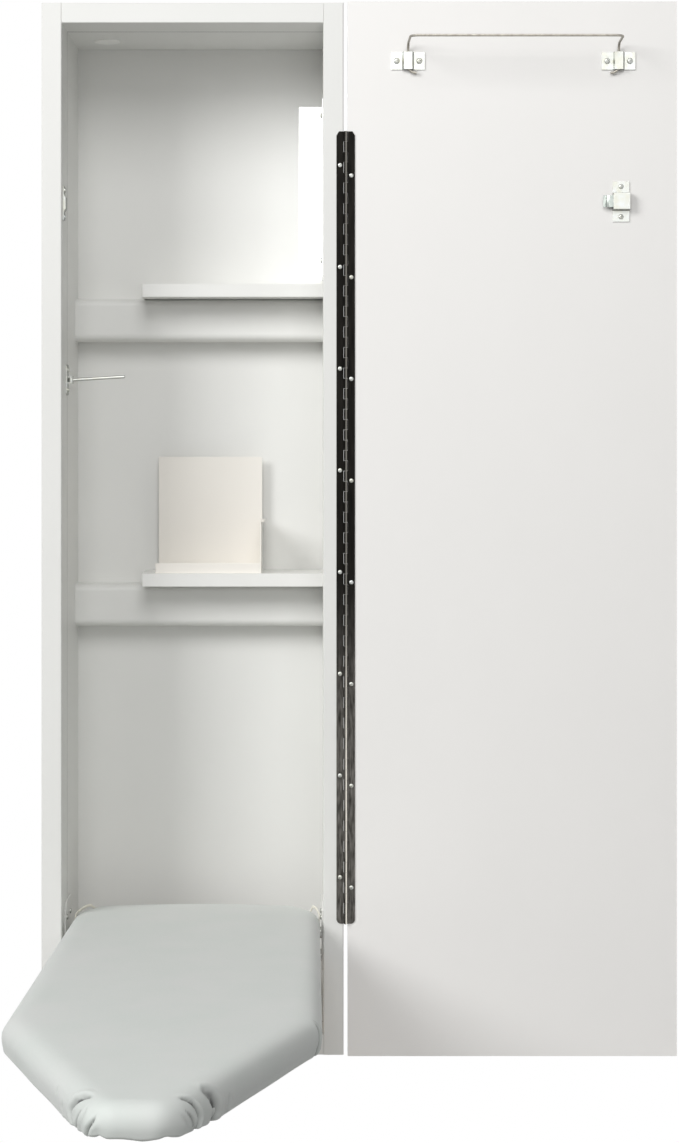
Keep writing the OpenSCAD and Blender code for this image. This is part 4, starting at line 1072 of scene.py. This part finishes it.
class CABINET_OT_hinge(bpy.types.Operator):
    """Finish the long hinge's leaves and pin"""

    bl_idname = "cabinet.hinge"
    bl_label = "Continuous hinge"

    def execute(self, context):
        dress("polished_hinge", "hinge_frame_leaf hinge_door_leaf")
        dress("zinc", "hinge_pin")
        return {"FINISHED"}


class CABINET_OT_mirror(bpy.types.Operator):
    """Finish the mirror on the door's outer face and the tape that holds it"""

    bl_idname = "cabinet.mirror"
    bl_label = "Mirror"

    def execute(self, context):
        dress("silvered_glass", "mirror_glass")
        dress("foam_tape", "mirror_tape")
        return {"FINISHED"}


class CABINET_OT_screws(bpy.types.Operator):
    """Model every screw with its cross recess"""

    bl_idname = "cabinet.screws"
    bl_label = "Screws"

    def execute(self, context):
        ways = {"front": Vector((0, -1, 0)), "right": Vector((1, 0, 0)), "left": Vector((-1, 0, 0)),
                "up": Vector((0, 0, 1))}
        ways["under"] = Matrix.Rotation(-context.scene.cabinet_cover.slope, 3, "X") @ Vector((0, 0, -1))
        for node, body, names, *sizes in SCREWS:
            screw_set(node, body, [ways[name] for name in names], *sizes)
        return {"FINISHED"}


class CABINET_OT_board(bpy.types.Operator):
    """Finish the wooden board and make its felt pad"""

    bl_idname = "cabinet.board"
    bl_label = "Board and pad"

    def execute(self, context):
        cover = context.scene.cabinet_cover
        plan = BoardPlan(cover)
        dress("plywood", "board_core")
        shape = CoverShape(plan, lower=cover.cloth + PAD_UNDER)
        wood = shape.wood_high
        kept = list(takewhile(lambda ring: min(p.z for p in ring) >= wood + PAD_EDGE, shape.rings()))
        foot = [Vector((p.x, p.y, wood + PAD_OFF)) for p in kept[-1]]
        inner = [[shape.spine(p.y).lerp(Vector((p.x, p.y, 0.0)), share) + Vector((0, 0, wood + PAD_OFF))
                  for p in foot] for share in (0.93, 0.6, 0.3, 0.0)]
        vertices, faces = shape.mesh(kept + [foot] + inner)
        pad = new_piece("board_pad_felt", vertices, faces, "felt", "board")
        weld(pad.data)
        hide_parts("board_pad")
        return {"FINISHED"}


class CABINET_OT_cover(bpy.types.Operator):
    """Make the fabric cover with its padded edge, gathers and hem"""

    bl_idname = "cabinet.cover"
    bl_label = "Cover"

    def execute(self, context):
        cover = context.scene.cabinet_cover
        plan = BoardPlan(cover)
        shape = CoverShape(plan)
        vertices, faces = shape.mesh(shape.rings())
        made = new_piece("board_cover_cloth", vertices, faces, "cotton_cover", "board")
        # Painted shade for the gathers' creases, stored on the points for the cover's material
        painted_crease_shade = made.data.attributes.new("Creases", "FLOAT", "POINT")
        painted_crease_shade.data.foreach_set("value", shape.painted_shades())
        weld(made.data)
        map_cloth(made, plan)
        thick = made.modifiers.new("Cloth", "SOLIDIFY")
        thick.thickness = cover.cloth
        thick.offset = -1.0
        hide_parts("board_cover")
        return {"FINISHED"}


# Each tie's loop: degrees on round the tail's corner, height and distance off the cover in millimetres
TIE_LOOP = ((0, 13.0, 0.6), (2, 18.0, 1.3), (6, 23.3, 2.1), (16, 27.0, 2.3), (24, 29.7, 2.2), (32, 31.2, 1.8),
            (38, 30.6, 1.6), (46, 25.0, 1.6), (56, 16.5, 1.4), (64, 12.0, 0.6))
TIE_FROM = 16                     # degrees round the corner where a loop starts
TIE_SIDES = ((-1, 0.97), (1, 0.55))                       # side, and how long its loop is
TIE_SECTION = ((-1, -0.5), (-0.8, -1), (0.8, -1), (1, -0.5), (1, 0.5), (0.8, 1), (-0.8, 1), (-1, 0.5))
TIE_STEPS = 120


def smooth_line(points, share):
    """A point on the smooth curve through some points, at a share of its way."""
    at = min(share * (len(points) - 1), len(points) - 1.000001)
    i, f = int(at), at % 1.0
    a, b, c, d = (Vector(points[min(max(i + k, 0), len(points) - 1)]) for k in (-1, 0, 1, 2))
    return 0.5 * (2 * b + (c - a) * f + (2 * a - 5 * b + 4 * c - d) * f ** 2
                  + (3 * b - a - 3 * c + d) * f ** 3)


class CABINET_OT_ties(bpy.types.Operator):
    """Make the elastic ties round the corners of the board's tail"""

    bl_idname = "cabinet.ties"
    bl_label = "Elastic ties"

    def execute(self, context):
        cover = context.scene.cabinet_cover
        plan = BoardPlan(cover)
        (cx, cy), r, _, _ = plan.arcs()[1]
        width, thick, rib = 0.0034, 0.0007, 0.0022
        vertices, faces = [], []
        for side, share in TIE_SIDES:
            start = len(vertices)
            for i in range(TIE_STEPS + 1):
                degrees, z, off = smooth_line(TIE_LOOP, i / TIE_STEPS)
                a = math.radians(TIE_FROM + degrees * share)
                swell = 1 + 0.18 * math.sin(math.tau * (r * a) / rib)
                out = Vector((side * math.cos(a), math.sin(a), 0))
                centre = Vector((side * cx, cy, z * MM)) + out * (r + off * MM)
                across = [out * (thick * swell * v) + Vector((0, 0, width / 2 * u)) for u, v in TIE_SECTION]
                vertices += [plan.to_row @ (centre + off_centre) for off_centre in across]
            faces += ring_faces(len(vertices) - start, len(TIE_SECTION), start)
        made = new_piece("cover_tie_bands", vertices, faces, "elastic", "board")
        weld(made.data)
        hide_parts("cover_ties")
        return {"FINISHED"}


# The lamps: name, the setting with its power, place, what it points at, and width
LAMPS = (
    ("Key", "key", (-2.3, -2.4, 1.6), (0.1, -0.3, 0.0), 1.5),
    ("Front", "fill", (0.2, -3.9, 0.5), (0.2, -0.2, 0.0), 1.7),
    ("Above", "above", (0.2, -3.2, 2.2), (0.2, -0.2, 0.0), 1.7),
    ("Back", "back", (0.6, 2.8, 1.4), (0.2, 0.0, 0.0), 1.8),
)


class CABINET_OT_stage(bpy.types.Operator):
    """Set up the camera, the lamps, the floor and the studio's light"""

    bl_idname = "cabinet.stage"
    bl_label = "Studio"

    def execute(self, context):
        scene = context.scene
        stage = scene.cabinet_stage
        scene.view_settings.view_transform = "Standard"
        self.camera(scene, stage)
        self.lamps(scene, stage)
        self.floor(scene, stage)
        self.world(scene, stage)
        return {"FINISHED"}

    def camera(self, scene, stage):
        data = bpy.data.cameras.new("Camera")
        eye = bpy.data.objects.new("Camera", data)
        scene.collection.objects.link(eye)
        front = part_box("frame_left_stile")[0].y
        eye.location = (stage.eye_x, front - stage.distance, stage.eye_z)
        eye.rotation_euler = (math.pi / 2, 0, 0)
        data.sensor_width = 36.0
        data.lens = stage.focus_px / PHOTO_H * data.sensor_width
        data.shift_x = (PHOTO_W / 2 - stage.level_x) / PHOTO_H
        data.shift_y = -(PHOTO_H / 2 - stage.level_y) / PHOTO_H
        scene.camera = eye

    def lamps(self, scene, stage):
        for name, power_of, place, aim, size in LAMPS:
            data = bpy.data.lights.new(name, "AREA")
            data.shape = "SQUARE"
            data.size = size
            data.energy = getattr(stage, power_of)
            made = bpy.data.objects.new(name, data)
            scene.collection.objects.link(made)
            made.location = place
            made.rotation_euler = (Vector(aim) - Vector(place)).to_track_quat("-Z", "Y").to_euler()

    def floor(self, scene, stage):
        work = bmesh.new()
        bmesh.ops.create_circle(work, cap_ends=True, radius=stage.floor_radius, segments=96)
        mesh = bpy.data.meshes.new("Floor")
        work.to_mesh(mesh)
        work.free()
        made = bpy.data.objects.new("Floor", mesh)
        scene.collection.objects.link(made)
        made.location = (0.1, -0.3, -stage.floor_drop)
        paint = Paint("Studio floor")
        paint.base((0.84, 0.84, 0.83), 0.9)
        out = paint.put("VectorMath", operation="LENGTH", Vector=paint.put("TexCoord").outputs["Object"])
        edge = stage.floor_radius
        shown = paint.mapped(out.outputs["Value"], 0.3 * edge, edge, 1.0, 0.0, smooth=True)
        above = paint.calc("SUBTRACT", 1.0, paint.put("NewGeometry").outputs["Backfacing"])
        paint.drive(Alpha=paint.calc("MULTIPLY", shown, above))     # nothing of it is seen from below
        mesh.materials.append(paint.material)

    def world(self, scene, stage):
        """White where the camera, gloss or glass looks past the cabinet, and a soft grey light elsewhere."""
        world = bpy.data.worlds.new("Studio")
        scene.world = world
        world.use_nodes = True
        net = Net(world.node_tree)
        net.tree.nodes.clear()
        seen = net.put("LightPath").outputs
        clear = net.calc("MAXIMUM", net.calc("MAXIMUM", seen["Is Camera Ray"], seen["Is Glossy Ray"]),
                         seen["Is Transmission Ray"])
        light = net.put("Background", Color=(1, 1, 1, 1), Strength=net.mapped(clear, low=stage.ambient))
        net.put("OutputWorld", Surface=light.outputs[0])


class CABINET_PT_panel(bpy.types.Panel):
    """Cabinet panel in the sidebar"""

    bl_label = "Ironing board cabinet"
    bl_idname = "CABINET_PT_panel"
    bl_space_type = "VIEW_3D"
    bl_region_type = "UI"
    bl_category = "Cabinet"

    def draw(self, context):
        layout = self.layout
        for title, group_name, _ in SETTINGS:
            box = layout.box()
            box.label(text=title)
            settings = getattr(context.scene, group_name)
            for name in settings.__annotations__:
                box.prop(settings, name)
        for step in STEPS:
            layout.operator(step.bl_idname)


SETTINGS = (("Cover", "cabinet_cover", CoverSettings), ("Finishes", "cabinet_finish", FinishSettings),
            ("Studio", "cabinet_stage", StageSettings))
STEPS = (CABINET_OT_stage, CABINET_OT_white_parts, CABINET_OT_iron_store, CABINET_OT_hardware,
         CABINET_OT_hinge, CABINET_OT_mirror, CABINET_OT_screws, CABINET_OT_board, CABINET_OT_cover,
         CABINET_OT_ties)


def register():
    for _, name, kind in SETTINGS:
        bpy.utils.register_class(kind)
        setattr(bpy.types.Scene, name, PointerProperty(type=kind))
    for kind in (*STEPS, CABINET_PT_panel):
        bpy.utils.register_class(kind)


def unregister():
    for kind in reversed((*STEPS, CABINET_PT_panel)):
        bpy.utils.unregister_class(kind)
    for _, name, kind in SETTINGS:
        delattr(bpy.types.Scene, name)
        bpy.utils.unregister_class(kind)


def main():
    register()
    bpy.ops.cabinet.stage()
    bpy.ops.cabinet.white_parts()
    bpy.ops.cabinet.iron_store()
    bpy.ops.cabinet.hardware()
    bpy.ops.cabinet.hinge()
    bpy.ops.cabinet.mirror()
    bpy.ops.cabinet.screws()
    bpy.ops.cabinet.board()
    bpy.ops.cabinet.cover()
    bpy.ops.cabinet.ties()


if __name__ == "__main__":
    main()
